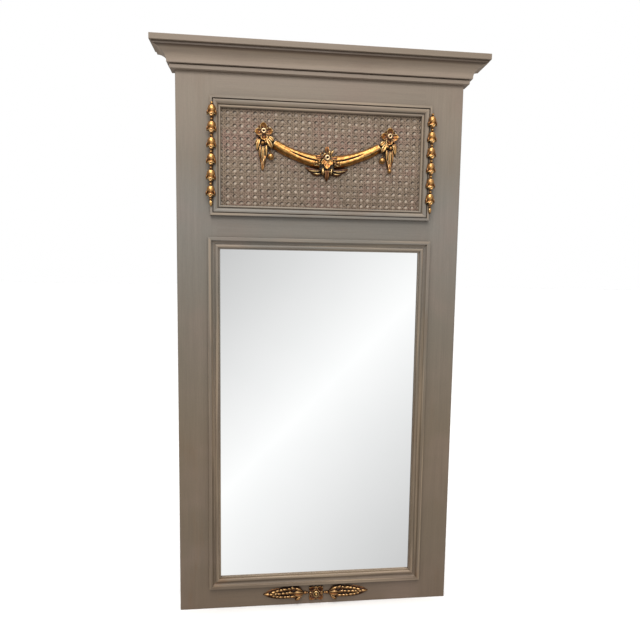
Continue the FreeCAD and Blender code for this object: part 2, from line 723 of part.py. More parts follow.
# ---------------------------------------------------------- wall fittings
def arc_corners(x, y, radius, start, end, count):
    """Corners along an arc, both of its ends among them."""
    turns = [math.radians(start + (end - start) * k / count) for k in range(count + 1)]
    return [vec(x + radius * math.cos(t), y + radius * math.sin(t)) for t in turns]


def hanger_ring(side):
    """D ring: a straight bar in the strap's eye, and a bow that stands up to the hook."""
    half = RING_INSIDE_WIDTH / 2 + RING_WIRE_RADIUS
    r, bow_y = RING_CORNER, RING_HIGH - half
    path = [vec(0, 0)]
    path += arc_corners(half - r, r, r, -90, 0, 2)
    path += arc_corners(0, bow_y, half, 0, 180, RING_BOW_STEPS)
    path += arc_corners(-half + r, r, r, 180, 270, 2)
    path.append(vec(0, 0))
    turns = [2 * math.pi * (k % FACETS) / FACETS for k in range(FACETS + 1)]
    r = RING_WIRE_RADIUS
    wire = Part.makePolygon([vec(0, r * math.cos(t), r * math.sin(t)) for t in turns])
    ring = Part.makePolygon(path).makePipeShell([wire], True, False, 1)
    lean = FreeCAD.Rotation(vec(1, 0, 0), 90 + RING_LEAN)
    return moved(ring, side * STILE_MIDDLE, EYE_Y, EYE_Z, lean)


def hanger_strap(side):
    """Steel strip curled round the ring's bar, with its tail screwed to the stile."""
    half, right = STRAP_WIDTH / 2, vec(1, 0, 0)
    eye = Part.makeCylinder(EYE_OUTSIDE, STRAP_WIDTH, vec(-half, EYE_OUTSIDE, 0), right)
    bore = Part.makeCylinder(EYE_INSIDE, STRAP_WIDTH, vec(-half, EYE_OUTSIDE, 0), right)
    tail = block(-half, half, 0, STRAP_THICKNESS, -STRAP_LENGTH, 0)
    return moved(fuse([eye, tail]).cut(bore), side * STILE_MIDDLE, BACK, EYE_Z)


def hanger_screws():
    """Two pan-head screws through each strap's tail into its stile."""
    levels = [
        (SCREW_RADIUS, -SCREW_LENGTH),
        (SCREW_RADIUS, 0),
        (SCREW_HEAD_RADIUS, 0),
        (SCREW_HEAD_RADIUS, 0.5 * SCREW_HEAD_HEIGHT),
        (0.7 * SCREW_HEAD_RADIUS, SCREW_HEAD_HEIGHT),
    ]
    inwards = FreeCAD.Rotation(vec(1, 0, 0), -90)
    drops = [STRAP_SCREW_FIRST + k * STRAP_SCREW_SPACING for k in range(2)]
    places = [(side * STILE_MIDDLE, EYE_Z - drop) for side in (-1, 1) for drop in drops]
    screw = faceted(levels)
    return Part.makeCompound([moved(screw, x, BACK + STRAP_THICKNESS, z, inwards) for x, z in places])


def bumper(side, z):
    """Round pad that keeps the frame off the wall."""
    x = side * (HALF_FRAME - BUMPER_INSET)
    return Part.makeCylinder(BUMPER_RADIUS, BUMPER_THICKNESS, vec(x, BACK, z), vec(0, 1, 0))


# ------------------------------------------------------------------ assembly
def frame_nodes():
    """Wooden boards of the face frame."""
    spans = rail_spans()
    return {
        "left_stile": stile(False),
        "right_stile": stile(True),
        "bottom_rail": rail(*spans[0]),
        "middle_rail": rail(*spans[1]),
        "top_rail": rail(*spans[2]),
    }


def opening_nodes(name, low, high, plates, across, upright):
    """Plates of an opening from front to back, then the strips and brads that hold them."""
    nodes = {}
    front = LIP_BACK
    for plate_name, thickness in plates:
        nodes[plate_name] = plate(low, high, front, thickness)
        front += thickness
    brads = strip_brads(low, high, front, across, upright)
    for side, strip in strips(low, high, front).items():
        nodes[name + "_strip_" + side] = strip.cut(brads)
    nodes[name + "_strip_brads"] = brads
    return nodes


def cornice_nodes():
    crown_low = FRAME_TOP - CROWN_HEIGHT
    nodes = {"cap_board": cap_board()}
    for run, piece in cornice_runs(crown_section(), crown_low).items():
        nodes["crown_" + run] = piece
    for run, piece in cornice_runs(neck_section(), crown_low - NECK_HEIGHT).items():
        nodes["neck_band_" + run] = piece
    return nodes


def hanging_nodes():
    screws = hanger_screws()
    nodes = {"hanger_screws": screws}
    for name, side in (("left", -1), ("right", 1)):
        nodes[name + "_hanger_ring"] = hanger_ring(side)
        nodes[name + "_hanger_strap"] = hanger_strap(side).cut(screws)
        nodes[name + "_top_bumper"] = bumper(side, FRAME_TOP - BUMPER_INSET)
        nodes[name + "_bottom_bumper"] = bumper(side, BUMPER_INSET)
    return nodes


def build():
    """Every node of the mirror by name."""
    boards = frame_nodes()
    mirror_plates = (("mirror_glass", GLASS_THICKNESS), ("mirror_back_board", MIRROR_BACK_THICKNESS))
    panel_plates = (("cane_panel", CANE_THICKNESS), ("panel_board", PANEL_BOARD_THICKNESS))
    nodes = opening_nodes("mirror", MIRROR_LOW, MIRROR_HIGH, mirror_plates, 2, 3)
    nodes.update(opening_nodes("panel", PANEL_LOW, PANEL_HIGH, panel_plates, 2, 2))
    for side, piece in mirror_mouldings().items():
        nodes["mirror_moulding_" + side] = piece
    for side, piece in panel_mouldings().items():
        nodes["panel_moulding_" + side] = piece
    nodes.update(cornice_nodes())
    nodes.update(swag())
    nodes["left_husk_chain"] = husk_chain(-1)
    nodes["right_husk_chain"] = husk_chain(1)
    nodes.update(bottom_ornament())
    nodes.update(hanging_nodes())
    fasteners = Part.makeCompound([nodes[name] for name in nodes if name.endswith(("_brads", "_screws"))])
    for name, board in boards.items():
        nodes[name] = board.cut(fasteners)
    return nodes


os.makedirs("parts", exist_ok=True)
for node, shape in build().items():
    shape.exportStep("parts/" + node + ".step")
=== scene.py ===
import json
import logging
import math
from dataclasses import dataclass
from enum import Enum

import bmesh
import bpy
from mathutils import Matrix, Vector


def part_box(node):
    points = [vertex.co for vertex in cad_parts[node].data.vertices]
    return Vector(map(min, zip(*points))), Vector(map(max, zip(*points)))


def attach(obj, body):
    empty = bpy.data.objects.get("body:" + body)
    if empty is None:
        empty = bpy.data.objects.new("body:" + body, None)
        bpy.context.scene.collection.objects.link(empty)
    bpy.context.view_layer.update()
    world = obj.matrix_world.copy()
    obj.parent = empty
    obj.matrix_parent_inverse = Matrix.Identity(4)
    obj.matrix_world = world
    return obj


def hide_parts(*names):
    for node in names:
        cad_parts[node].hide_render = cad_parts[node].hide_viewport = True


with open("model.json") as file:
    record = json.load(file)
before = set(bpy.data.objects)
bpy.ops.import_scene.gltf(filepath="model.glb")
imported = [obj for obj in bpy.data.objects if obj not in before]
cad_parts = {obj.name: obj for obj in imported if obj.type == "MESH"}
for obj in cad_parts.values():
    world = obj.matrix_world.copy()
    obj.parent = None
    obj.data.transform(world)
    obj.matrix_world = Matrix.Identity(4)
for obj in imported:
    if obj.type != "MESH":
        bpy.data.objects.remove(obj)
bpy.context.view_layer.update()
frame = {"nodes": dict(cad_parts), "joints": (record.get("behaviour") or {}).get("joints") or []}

LOG = logging.getLogger("trumeau")
MM = 0.001
# Where the finish of the front gives way to that of the back, from first to last millimetre of y.
BOARD_BACK = (-5.6, -5.1)
PANEL_BACK = (-16.5, -15.8)
GLASS_BACK = (-17.4, -17.1)

Colour = tuple[float, float, float]
Linear = tuple[float, float, float, float]
Material = bpy.types.Material
Mesh = bmesh.types.BMesh
Piece = bpy.types.Object
Pair = tuple[float, float]
Socket = bpy.types.NodeSocket
Triple = tuple[float, float, float]
Verts = list[bmesh.types.BMVert]


def srgb(colour: Colour) -> Linear:
    """Turn a 0 to 255 display colour into the linear colour that a shader takes.

    Args:
        colour: Red, green and blue as a screen shows them.

    Returns:
        Linear red, green and blue, and full cover.
    """
    parts = [c / 255 for c in colour]
    linear = [c / 12.92 if c <= 0.04045 else ((c + 0.055) / 1.055) ** 2.4 for c in parts]
    return (linear[0], linear[1], linear[2], 1.0)


class Run(Enum):
    """Which way the grain and the brush ran on a board."""

    UPRIGHT = (1.0, 1.0, 40.0)
    ACROSS = (40.0, 1.0, 1.0)
    INWARD = (1.0, 40.0, 1.0)


# ------------------------------------------------------------------ finishes
class Nodes:
    """A tree of shader nodes, put together node by node."""

    def __init__(self, tree: bpy.types.NodeTree) -> None:
        """Work on a tree.

        Args:
            tree: The tree that the nodes are added to.
        """
        self.tree = tree

    def add(self, kind: str, **settings: object) -> bpy.types.Node:
        """Add a node.

        Args:
            kind: Blender's name of the node type.
            settings: Properties to set on the node.

        Returns:
            The new node.
        """
        node = self.tree.nodes.new(kind)
        for key, value in settings.items():
            setattr(node, key, value)
        return node

    def wire(self, value: Socket | float | tuple, target: Socket) -> None:
        """Feed a socket from another one, or with a plain value.

        Args:
            value: The other socket, or the value.
            target: The socket to feed.
        """
        if isinstance(value, bpy.types.NodeSocket):
            self.tree.links.new(value, target)
        else:
            target.default_value = value

    def maths(self, operation: str, a: Socket | float, b: Socket | float = 0.0, clamp: bool = False) -> Socket:
        """Do one sum on sockets or numbers.

        Args:
            operation: Blender's name of the operation.
            a: First value.
            b: Second value, where the operation has one.
            clamp: Whether to hold the result between 0 and 1.

        Returns:
            The result's socket.
        """
        node = self.add("ShaderNodeMath", operation=operation, use_clamp=clamp)
        self.wire(a, node.inputs[0])
        self.wire(b, node.inputs[1])
        return node.outputs[0]

    def between(self, value: Socket, low: float, high: float, to_low: float = 0.0, to_high: float = 1.0,
                how: str = "SMOOTHSTEP") -> Socket:
        """Carry a range of values over to another, and hold it at both ends.

        Args:
            value: The value to carry over.
            low: Where the range starts.
            high: Where it ends.
            to_low: What its start becomes.
            to_high: What its end becomes.
            how: Blender's name of the interpolation.

        Returns:
            The new value's socket.
        """
        node = self.add("ShaderNodeMapRange", interpolation_type=how)
        for socket, number in zip(node.inputs, (value, low, high, to_low, to_high)):
            self.wire(number, socket)
        return node.outputs[0]

    def part(self, place: Socket, name: str) -> Socket:
        """Take one coordinate of a place.

        Args:
            place: The place's socket.
            name: X, Y or Z.

        Returns:
            The coordinate's socket.
        """
        node = self.add("ShaderNodeSeparateXYZ")
        self.wire(place, node.inputs[0])
        return node.outputs[name]


class Shader(Nodes):
    """One procedural material, its patterns laid out on Object coordinates."""

    def __init__(self, name: str) -> None:
        """Start a material.

        Args:
            name: The material's name.
        """
        self.material = bpy.data.materials.new(name)
        self.material.use_nodes = True
        super().__init__(self.material.node_tree)
        self.surface = self.tree.nodes["Principled BSDF"]
        self.place = self.add("ShaderNodeTexCoord").outputs["Object"]

    def blend(self, share: Socket | float, a: Socket | tuple, b: Socket | tuple, how: str = "MIX") -> Socket:
        """Mix two colours.

        Args:
            share: How much of the second colour shows.
            a: First colour.
            b: Second colour.
            how: Blender's name of the blend type.

        Returns:
            The mixed colour's socket.
        """
        node = self.add("ShaderNodeMix", data_type="RGBA", blend_type=how)
        self.wire(share, node.inputs[0])
        self.wire(a, node.inputs[6])
        self.wire(b, node.inputs[7])
        return node.outputs[2]

    def stain(self, tone: Socket | tuple, colour: Colour, value: Socket, low: float, high: float,
              share: float = 1.0, least: float = 0.0) -> Socket:
        """Lay a colour over another one by a pattern.

        Args:
            tone: The colour below.
            colour: The display colour that is laid over it.
            value: The pattern.
            low: The pattern's value where the upper colour shows least.
            high: The value where it shows most.
            share: How much of it shows there.
            least: How much of it shows at the low value.

        Returns:
            The new colour's socket.
        """
        return self.blend(self.between(value, low, high, least, share), tone, srgb(colour))

    def axis(self, name: str) -> Socket:
        """One coordinate of the place on the piece, in metres."""
        return self.part(self.place, name)

    def behind(self, span: Pair) -> Socket:
        """Tell the back of a piece from its front.

        Args:
            span: Where the change starts and ends, in millimetres of y.

        Returns:
            A value's socket: 0 in front and 1 behind.
        """
        return self.between(self.axis("Y"), span[0] * MM, span[1] * MM)

    def noise(self, size: float, stretch: Triple = (1.0, 1.0, 1.0), detail: float = 3.0,
              roughness: float = 0.55, shift: float = 0.0) -> Socket:
        """Soft random pattern.

        Args:
            size: Size of its features in millimetres.
            stretch: How many times longer they are along each axis.
            detail: How many finer layers lie over the first.
            roughness: How strong the finer layers are.
            shift: Moves the pattern, so that two of the same size differ.

        Returns:
            The pattern's value, from 0 to 1.
        """
        mapping = self.add("ShaderNodeMapping")
        node = self.add("ShaderNodeTexNoise")
        for value, target in ((self.place, mapping.inputs["Vector"]),
                              ((shift, shift * 1.7, shift * 2.3), mapping.inputs["Location"]),
                              (tuple(1 / (size * MM * s) for s in stretch), mapping.inputs["Scale"]),
                              (mapping.outputs[0], node.inputs["Vector"]),
                              (1.0, node.inputs["Scale"]),
                              (detail, node.inputs["Detail"]),
                              (roughness, node.inputs["Roughness"])):
            self.wire(value, target)
        return node.outputs[0]

    def ramp(self, value: Socket, stops: tuple[tuple[float, Colour], ...]) -> Socket:
        """Read a colour off a row of stops.

        Args:
            value: Where to read, from 0 to 1.
            stops: (place, display colour) of each stop, in order.

        Returns:
            The colour's socket.
        """
        node = self.add("ShaderNodeValToRGB")
        self.wire(value, node.inputs[0])
        row = node.color_ramp.elements
        row[0].position, row[0].color = stops[0][0], srgb(stops[0][1])
        row[1].position, row[1].color = stops[-1][0], srgb(stops[-1][1])
        for place, colour in stops[1:-1]:
            row.new(place).color = srgb(colour)
        return node.outputs[0]

    def hollows(self, reach: float) -> Socket:
        """How shut in a place is.

        Args:
            reach: How far around the place to look, in millimetres.

        Returns:
            A value's socket: 0 in the open and 1 deep in a corner.
        """
        node = self.add("ShaderNodeAmbientOcclusion", samples=4)
        node.inputs["Distance"].default_value = reach * MM
        return self.maths("SUBTRACT", 1.0, node.outputs["AO"])

    def finish(self, colour: Socket, roughness: Socket | float, height: Socket | None = None, depth: float = 0.0,
               strength: float = 1.0) -> Material:
        """Join the colour, the roughness and a fine relief to the surface.

        Args:
            colour: The colour's socket.
            roughness: The roughness's socket or value.
            height: Pattern of the relief, from 0 to 1, if it has one.
            depth: Height of the relief in millimetres.
            strength: How much of it shows.

        Returns:
            The finished material.
        """
        self.wire(colour, self.surface.inputs["Base Color"])
        self.wire(roughness, self.surface.inputs["Roughness"])
        if height:
            node = self.add("ShaderNodeBump")
            node.inputs["Strength"].default_value = strength
            node.inputs["Distance"].default_value = depth * MM
            self.wire(height, node.inputs["Height"])
            self.wire(node.outputs[0], self.surface.inputs["Normal"])
        return self.material


@dataclass(frozen=True)
class AgedPaint:
    """Greige furniture paint over wood: mottled, brushed, and rubbed with a brown waxing that also lays painted shade
    in the hollows and grooves.

    The colour runs from the foot of the mirror to its top: partly the paint's own ageing and partly painted light,
    darker towards the foot, lighter across the top rail and the cove, and darker again above the cove. Behind, the
    wood is bare.
    """

    name: str
    run: Run
    # Height ramp with painted light: darker towards the foot, lighter on the top rail and the cove, darker above the
    # cove.
    tones_with_falloff: tuple[tuple[float, Colour], ...] = (
        (0.0, (116, 98, 80)), (0.11, (117, 102, 84)), (0.31, (121, 106, 87)), (0.53, (122, 113, 100)),
        (0.73, (130, 125, 117)), (0.82, (131, 121, 108)), (0.93, (145, 132, 117)),
        (0.963, (148, 133, 118)), (0.970, (168, 151, 134)), (0.985, (168, 150, 131)), (0.989, (136, 121, 105)),
        (1.0, (134, 119, 103)))
    blush: Colour = (146, 124, 112)
    rubbed: Colour = (118, 88, 60)
    # Lighter tan, laid on in streaks as a painted highlight.
    crest_highlight: Colour = (176, 154, 128)
    wax_and_shade: Colour = (58, 40, 26)
    wood: Colour = (150, 116, 80)
    dark_wood: Colour = (93, 71.92, 49.6)
    # How far and how strongly the brown waxing and painted shade reach into hollows.
    shade_wax_reach: float = 7.0
    shade_wax_share: float = 0.55
    crisp_shade_reach: float = 2.6
    rub: float = 0.15
    height: float = 1.13
    # Painted shadow of the cap: everything above this height, in metres, is darkened.
    cap_shadow_from: float = 2.0
    cap_shadow_haze: Pair = (0.011, 0.0015)
    cap_shadow_line: float = 0.003
    # How much painted highlight the streaks lay on.
    crest_highlights: float = 0.0

    def material(self) -> Material:
        """Build the paint.

        Returns:
            The finished material.
        """
        s = Shader(self.name)
        z = s.axis("Z")
        # painted light: the height ramp darkens the foot and lightens the top rail and the cove
        paint = s.ramp(s.maths("DIVIDE", z, self.height), self.tones_with_falloff)
        paint = s.stain(paint, self.blush, s.noise(120, detail=2.0), 0.45, 0.75, 0.3)
        brush = s.noise(1.6, self.run.value, roughness=0.7)
        streak = s.noise(7.0, self.run.value, shift=4.0)
        fleck = s.noise(2.2, roughness=0.7, shift=7.0)
        shade = s.maths("ADD", s.between(brush, 0.3, 0.7, 0.94, 1.04), s.between(streak, 0.3, 0.7, -0.03, 0.03))
        shade = s.maths("ADD", shade, s.between(fleck, 0.3, 0.7, -0.025, 0.025))
        grey = s.add("ShaderNodeCombineColor")
        for socket in grey.inputs[:3]:
            s.wire(shade, socket)
        paint = s.blend(1.0, paint, grey.outputs[0], "MULTIPLY")
        worn = s.noise(26, tuple(1 + 0.1 * v for v in self.run.value), detail=5.0, roughness=0.65, shift=9.0)
        worn = s.between(worn, 0.54, 0.74, 0.0, self.rub)
        worn = s.maths("MULTIPLY", worn, s.between(z, 0.0, 0.5 * self.height, 1.6, 0.7), True)
        paint = s.blend(worn, paint, srgb(self.rubbed))
        # painted highlight: lighter streaks stand in for light catching the moulding ridges
        paint = s.stain(paint, self.crest_highlight, streak, 0.42, 0.66, self.crest_highlights)
        paint = s.blend(self.shade_and_wax(s, z), paint, srgb(self.wax_and_shade))
        grain = s.noise(5.0, self.run.value, detail=5.0, roughness=0.7, shift=1.0)
        bare = s.stain(srgb(self.wood), self.dark_wood, grain, 0.35, 0.68)
        return s.finish(s.blend(s.behind(BOARD_BACK), paint, bare), s.between(brush, 0.2, 0.8, 0.42, 0.60),
                        s.maths("ADD", brush, s.maths("MULTIPLY", streak, 0.6)), 0.16, 0.5)

    def shade_and_wax(self, s: Shader, z: Socket) -> Socket:
        """How much brown waxing and painted shade lies on the paint: painted shade in hollows and grooves, and a
        painted shadow under the cap.

        Args:
            s: The shader to add it to.
            z: Height over the floor, in metres.

        Returns:
            The share's socket.
        """
        patchy = s.between(s.noise(14, shift=2.0), 0.3, 0.7, 0.7, 1.0)
        # painted shade: occlusion darkens hollows and grooves, partly real waxing and partly shade
        wide = s.between(s.hollows(self.shade_wax_reach), 0.25, 0.8, 0.0, self.shade_wax_share)
        crisp = s.between(s.hollows(self.crisp_shade_reach), 0.30, 0.60, 0.0, 0.94)
        wax_and_shade = s.maths("MAXIMUM", s.maths("MULTIPLY", wide, patchy), crisp)
        # painted shadow under the cap: a faint haze rising to a dark band above the given height
        haze = s.between(z, *(self.cap_shadow_from - below for below in self.cap_shadow_haze), 0.0, 0.12)
        line = s.between(z, self.cap_shadow_from - self.cap_shadow_line, self.cap_shadow_from, 0.0, 0.62)
        return s.maths("MAXIMUM", wax_and_shade, s.maths("ADD", haze, line))


@dataclass(frozen=True)
class BareWood:
    """Plain softwood with its growth rings and saw marks."""

    name: str
    run: Run
    early: Colour = (172, 138, 98)
    late: Colour = (122, 88, 56)
    cloud: Colour = (98, 76, 55)

    def material(self) -> Material:
        """Build the wood.

        Returns:
            The finished material.
        """
        s = Shader(self.name)
        grain = s.noise(4.0, self.run.value, detail=6.0, roughness=0.65)
        saw = s.noise(0.8, tuple(max(1.0, 6 / v) for v in self.run.value), detail=1.0, shift=3.0)
        tone = s.stain(srgb(self.early), self.late, grain, 0.36, 0.66)
        tone = s.stain(tone, self.cloud, s.noise(60, shift=5.0), 0.4, 0.7, 0.35)
        return s.finish(tone, s.between(grain, 0.2, 0.8, 0.62, 0.82),
                        s.maths("ADD", grain, s.maths("MULTIPLY", saw, 0.4)), 0.25, 0.6)


@dataclass(frozen=True)
class Hardboard:
    """Thin pressed board: even brown with a fine fibre fleck."""

    name: str
    base: Colour = (112, 78, 50)
    fleck: Colour = (74, 50, 32)
    cloud: Colour = (140, 106, 74)

    def material(self) -> Material:
        """Build the board's surface.

        Returns:
            The finished material.
        """
        s = Shader(self.name)
        fibre = s.noise(1.1, (3.0, 1.0, 1.0), detail=5.0, roughness=0.75)
        tone = s.stain(srgb(self.base), self.fleck, fibre, 0.4, 0.66)
        tone = s.stain(tone, self.cloud, s.noise(110, shift=6.0), 0.45, 0.7, 0.3)
        return s.finish(tone, s.between(fibre, 0.2, 0.8, 0.5, 0.75), fibre, 0.12, 0.5)


@dataclass(frozen=True)
class PaintedCane:
    """Cane strands under the frame's paint, with split fibres, and with painted shade: between the strands, on strands
    lying further back, and towards the bottom of the panel.
    """

    name: str
    strand: Colour = (165, 144, 121)
    blush: Colour = (174, 138, 122)
    shadow: Colour = (104, 88, 74)
    split: Colour = (92, 78, 62)
    stained: Colour = (72, 58, 46)
    bright: Colour = (168, 153, 136)
    dirt_and_shade: Colour = (44, 32, 24)
    front: float = -18.9
    under: float = -18.0
    shaded: Pair = (0.838, 0.93)

    def material(self) -> Material:
        """Build the strands' finish.

        Returns:
            The finished material.
        """
        s = Shader(self.name)
        fibre = s.noise(0.5, (3.0, 1.0, 3.0), roughness=0.7)
        patch = s.noise(5.0, roughness=0.7, shift=6.0)
        tone = s.stain(srgb(self.strand), self.blush, s.noise(70, shift=2.5), 0.45, 0.68, 0.8)
        tone = s.stain(tone, self.shadow, s.axis("Z"), *self.shaded, 0.04, 0.32)
        tone = s.stain(tone, self.split, fibre, 0.35, 0.7, 0.45)
        tone = s.stain(tone, self.stained, patch, 0.45, 0.7, 0.72)
        tone = s.stain(tone, self.bright, patch, 0.5, 0.28, 0.5)
        # painted shade: strands lying further back are darker
        tone = s.stain(tone, self.dirt_and_shade, s.axis("Y"), self.front * MM, self.under * MM, 0.6)
        # painted shade between the strands, partly grime
        tone = s.stain(tone, self.dirt_and_shade, s.hollows(2.4), 0.22, 0.62, 0.95)
        return s.finish(tone, s.between(fibre, 0.2, 0.8, 0.45, 0.65), fibre, 0.1, 0.5)


@dataclass(frozen=True)
class HoleLitBacking:
    """Board behind the cane, with painted light and shadow: lit spots where the holes are, set off towards the lower
    right, and painted shade under the strands and at each hole's upper-left edge.
    """

    name: str
    across: float = 13.2
    up: float = 12.2
    # Where the lit spots are centred, offset from the holes so that a painted shadow falls at their upper left.
    hole: Pair = (0.9, 923.4)
    paint: Colour = (194, 177, 158)
    shade: Colour = (60, 47, 37)
    wood: Colour = (150, 116, 80)
    dark_wood: Colour = (96, 72, 50)

    def material(self) -> Material:
        """Build the board's surface.

        Returns:
            The finished material.
        """
        s = Shader(self.name)
        waves = []
        for name, pitch, at in (("X", self.across, self.hole[0]), ("Z", self.up, self.hole[1])):
            turn = s.maths("MULTIPLY", s.maths("SUBTRACT", s.axis(name), at * MM), 2 * math.pi / (pitch * MM))
            waves.append(s.maths("COSINE", turn))
        lit_spot = s.maths("ADD", waves[0], waves[1])
        lit_spot = s.maths("ADD", lit_spot, s.between(s.noise(6.0), 0.3, 0.7, -0.5, 0.5))
        uneven = s.between(s.noise(30, shift=5.0), 0.35, 0.65, 0.55, 1.0)
        # painted light and shadow: lit where a hole lets light in, painted shade elsewhere
        lit_share = s.maths("MULTIPLY", s.between(lit_spot, 0.55, 1.75), uneven)
        tone = s.blend(lit_share, srgb(self.shade), srgb(self.paint))
        grain = s.noise(5.0, Run.ACROSS.value, detail=5.0, roughness=0.7, shift=1.0)
        bare = s.stain(srgb(self.wood), self.dark_wood, grain, 0.35, 0.68)
        return s.finish(s.blend(s.behind(PANEL_BACK), tone, bare), s.between(grain, 0.2, 0.8, 0.5, 0.7), grain,
                        0.1, 0.4)


@dataclass(frozen=True)
class GoldLeaf:
    """Gold leaf over red clay on carving: rubbed bright and given a painted highlight on ridges, red clay and dark
    brown in hollows, the brown partly grime and partly painted shade.
    """

    name: str
    crest_highlight: Colour = (255, 228, 170)
    leaf: Colour = (214, 163, 90)
    brass: Colour = (168, 112, 52)
    clay: Colour = (112, 48, 30)
    # Near-black brown deep in hollows: partly grime, partly painted shade.
    hollow: Colour = (34, 15, 6)
    reach: float = 7.5
    # Painted shade laid over the whole piece, more for pieces that lie in shade.
    painted_dimming: float = 0.04

    def material(self) -> Material:
        """Build the gilding.

        Returns:
            The finished material.
        """
        s = Shader(self.name)
        edge = s.add("ShaderNodeNewGeometry").outputs["Pointiness"]
        cloud = s.noise(8, detail=4.0, roughness=0.6)
        fine = s.noise(1.3, detail=4.0, roughness=0.7, shift=3.0)
        tone = s.stain(srgb(self.leaf), self.brass, cloud, 0.35, 0.65)
        # painted highlight: paler gold on convex edges, partly rubbed leaf
        tone = s.stain(tone, self.crest_highlight, edge, 0.505, 0.56)
        # painted shade: occlusion and concave edges, raised by the painted dimming, darken the hollows
        shut = s.maths("ADD", s.hollows(self.reach), s.between(edge, 0.42, 0.495, 0.5, 0.0))
        shut = s.maths("ADD", shut, s.between(fine, 0.3, 0.7, self.painted_dimming - 0.08, self.painted_dimming + 0.12))
        clay = s.maths("MULTIPLY", s.between(shut, 0.18, 0.42), s.between(cloud, 0.42, 0.6, 0.25, 0.9))
        tone = s.blend(clay, tone, srgb(self.clay))
        # painted shade: near-black brown deep in hollows, with the gold dulled there
        deep = s.between(shut, 0.28, 0.60)
        tone = s.blend(deep, tone, srgb(self.hollow))
        s.wire(s.between(deep, 0.0, 1.0, 0.97, 0.2), s.surface.inputs["Metallic"])
        s.wire(0.4, s.surface.inputs["Coat Weight"])
        s.wire(0.3, s.surface.inputs["Coat Roughness"])
        rough = s.maths("ADD", s.between(fine, 0.2, 0.8, 0.22, 0.36), s.maths("MULTIPLY", deep, 0.3))
        return s.finish(tone, rough, s.maths("ADD", fine, cloud), 0.25, 0.45)


@dataclass(frozen=True)
class SilveredGlass:
    """Mirror plate: silver seen through clear glass in front, and grey paint behind."""

    name: str
    silver: Colour = (248, 249, 249)
    haze: Colour = (243, 245, 245)
    backing: Colour = (96, 92, 90)

    def material(self) -> Material:
        """Build the plate's finish.

        Returns:
            The finished material.
        """
        s = Shader(self.name)
        front = s.stain(srgb(self.silver), self.haze, s.noise(150, detail=2.0), 0.4, 0.7, 0.25)
        back = s.behind(GLASS_BACK)
        s.wire(s.maths("SUBTRACT", 1.0, back), s.surface.inputs["Metallic"])
        return s.finish(s.blend(back, front, srgb(self.backing)), s.between(back, 0.0, 1.0, 0.012, 0.5))


@dataclass(frozen=True)
class PlatedSteel:
    """Dull zinc plate with fine scratches and darker hollows: grime and painted shade."""

    name: str
    plate: Colour = (176, 172, 160)
    tarnish: Colour = (106, 98, 84)
    dirt_and_shade: Colour = (52, 46, 40)

    def material(self) -> Material:
        """Build the plate.

        Returns:
            The finished material.
        """
        s = Shader(self.name)
        cloud = s.noise(5, detail=4.0)
        scratch = s.noise(0.35, (1.0, 1.0, 14.0), detail=2.0, shift=2.0)
        tone = s.stain(srgb(self.plate), self.tarnish, cloud, 0.4, 0.7, 0.7)
        # painted shade in the hollows, partly grime
        tone = s.stain(tone, self.dirt_and_shade, s.hollows(2.0), 0.3, 0.8, 0.7)
        s.wire(0.9, s.surface.inputs["Metallic"])
        return s.finish(tone, s.between(cloud, 0.2, 0.8, 0.3, 0.5), scratch, 0.03, 0.4)


@dataclass(frozen=True)
class BumperRubber:
    """Matt black rubber, dusty where it is rough."""

    name: str
    black: Colour = (38, 37, 36)
    dust: Colour = (78, 74, 70)

    def material(self) -> Material:
        """Build the rubber.

        Returns:
            The finished material.
        """
        s = Shader(self.name)
        grain = s.noise(0.6)
        tone = s.stain(srgb(self.black), self.dust, s.noise(4.0, shift=1.0), 0.45, 0.75, 0.5)
        return s.finish(tone, s.between(grain, 0.2, 0.8, 0.65, 0.85), grain, 0.08, 0.5)


class Finishes:
    """Every finish of the mirror, built once and shared."""

    def __init__(self) -> None:
        """Build all the materials."""
        # Mouldings: more painted shade in their grooves, painted highlight streaks, and more rubbing.
        moulded = {"shade_wax_reach": 5.5, "shade_wax_share": 0.9, "rub": 0.5, "crest_highlights": 0.5}
        self.upright = AgedPaint("greige_paint_upright", Run.UPRIGHT).material()
        self.across = AgedPaint("greige_paint_across", Run.ACROSS).material()
        self.inward = AgedPaint("greige_paint_inward", Run.INWARD).material()
        # the crown takes a painted shadow under the cap's overhang
        self.crown_across = AgedPaint("cap_shaded_crown_paint_across", Run.ACROSS, shade_wax_reach=10.0, shade_wax_share=0.16,
                                      cap_shadow_from=1.1146).material()
        self.moulded_upright = AgedPaint("shaded_waxed_paint_upright", Run.UPRIGHT, **moulded).material()
        self.moulded_across = AgedPaint("shaded_waxed_paint_across", Run.ACROSS, **moulded).material()
        self.cane = PaintedCane("painted_cane").material()
        self.backing = HoleLitBacking("hole_lit_backing").material()
        self.gold = GoldLeaf("gold_leaf").material()
        # painted shade: a darker copy of the gold for the bottom ornament and the drops' lower leaves
        self.low_shade_gold = GoldLeaf("low_shade_gold_leaf", (246, 198, 130), (174, 110, 54), (116, 66, 30), reach=8.5,
                                 painted_dimming=0.15).material()
        self.warm_gold = GoldLeaf("warm_gold_leaf", (255, 220, 152), (208, 148, 76), (158, 98, 42),
                                  painted_dimming=0.06).material()
        # painted highlight: a paler copy of the gold for the flowers' ring beads
        self.highlight_gold = GoldLeaf("highlight_gold_leaf", (255, 236, 200), (240, 200, 146), (216, 168, 108),
                                    reach=3.5).material()
        self.shaded_gold = GoldLeaf("shaded_gold_leaf", (196, 138, 82), (128, 78, 38), (84, 46, 22),
                                    (82, 38, 22), reach=8.5, painted_dimming=0.16).material()
        self.glass = SilveredGlass("silvered_glass").material()
        self.strip_upright = BareWood("strip_wood_upright", Run.UPRIGHT).material()
        self.strip_across = BareWood("strip_wood_across", Run.ACROSS).material()
        self.hardboard = Hardboard("pressed_board").material()
        self.steel = PlatedSteel("zinc_plate").material()
        self.rubber = BumperRubber("bumper_rubber").material()


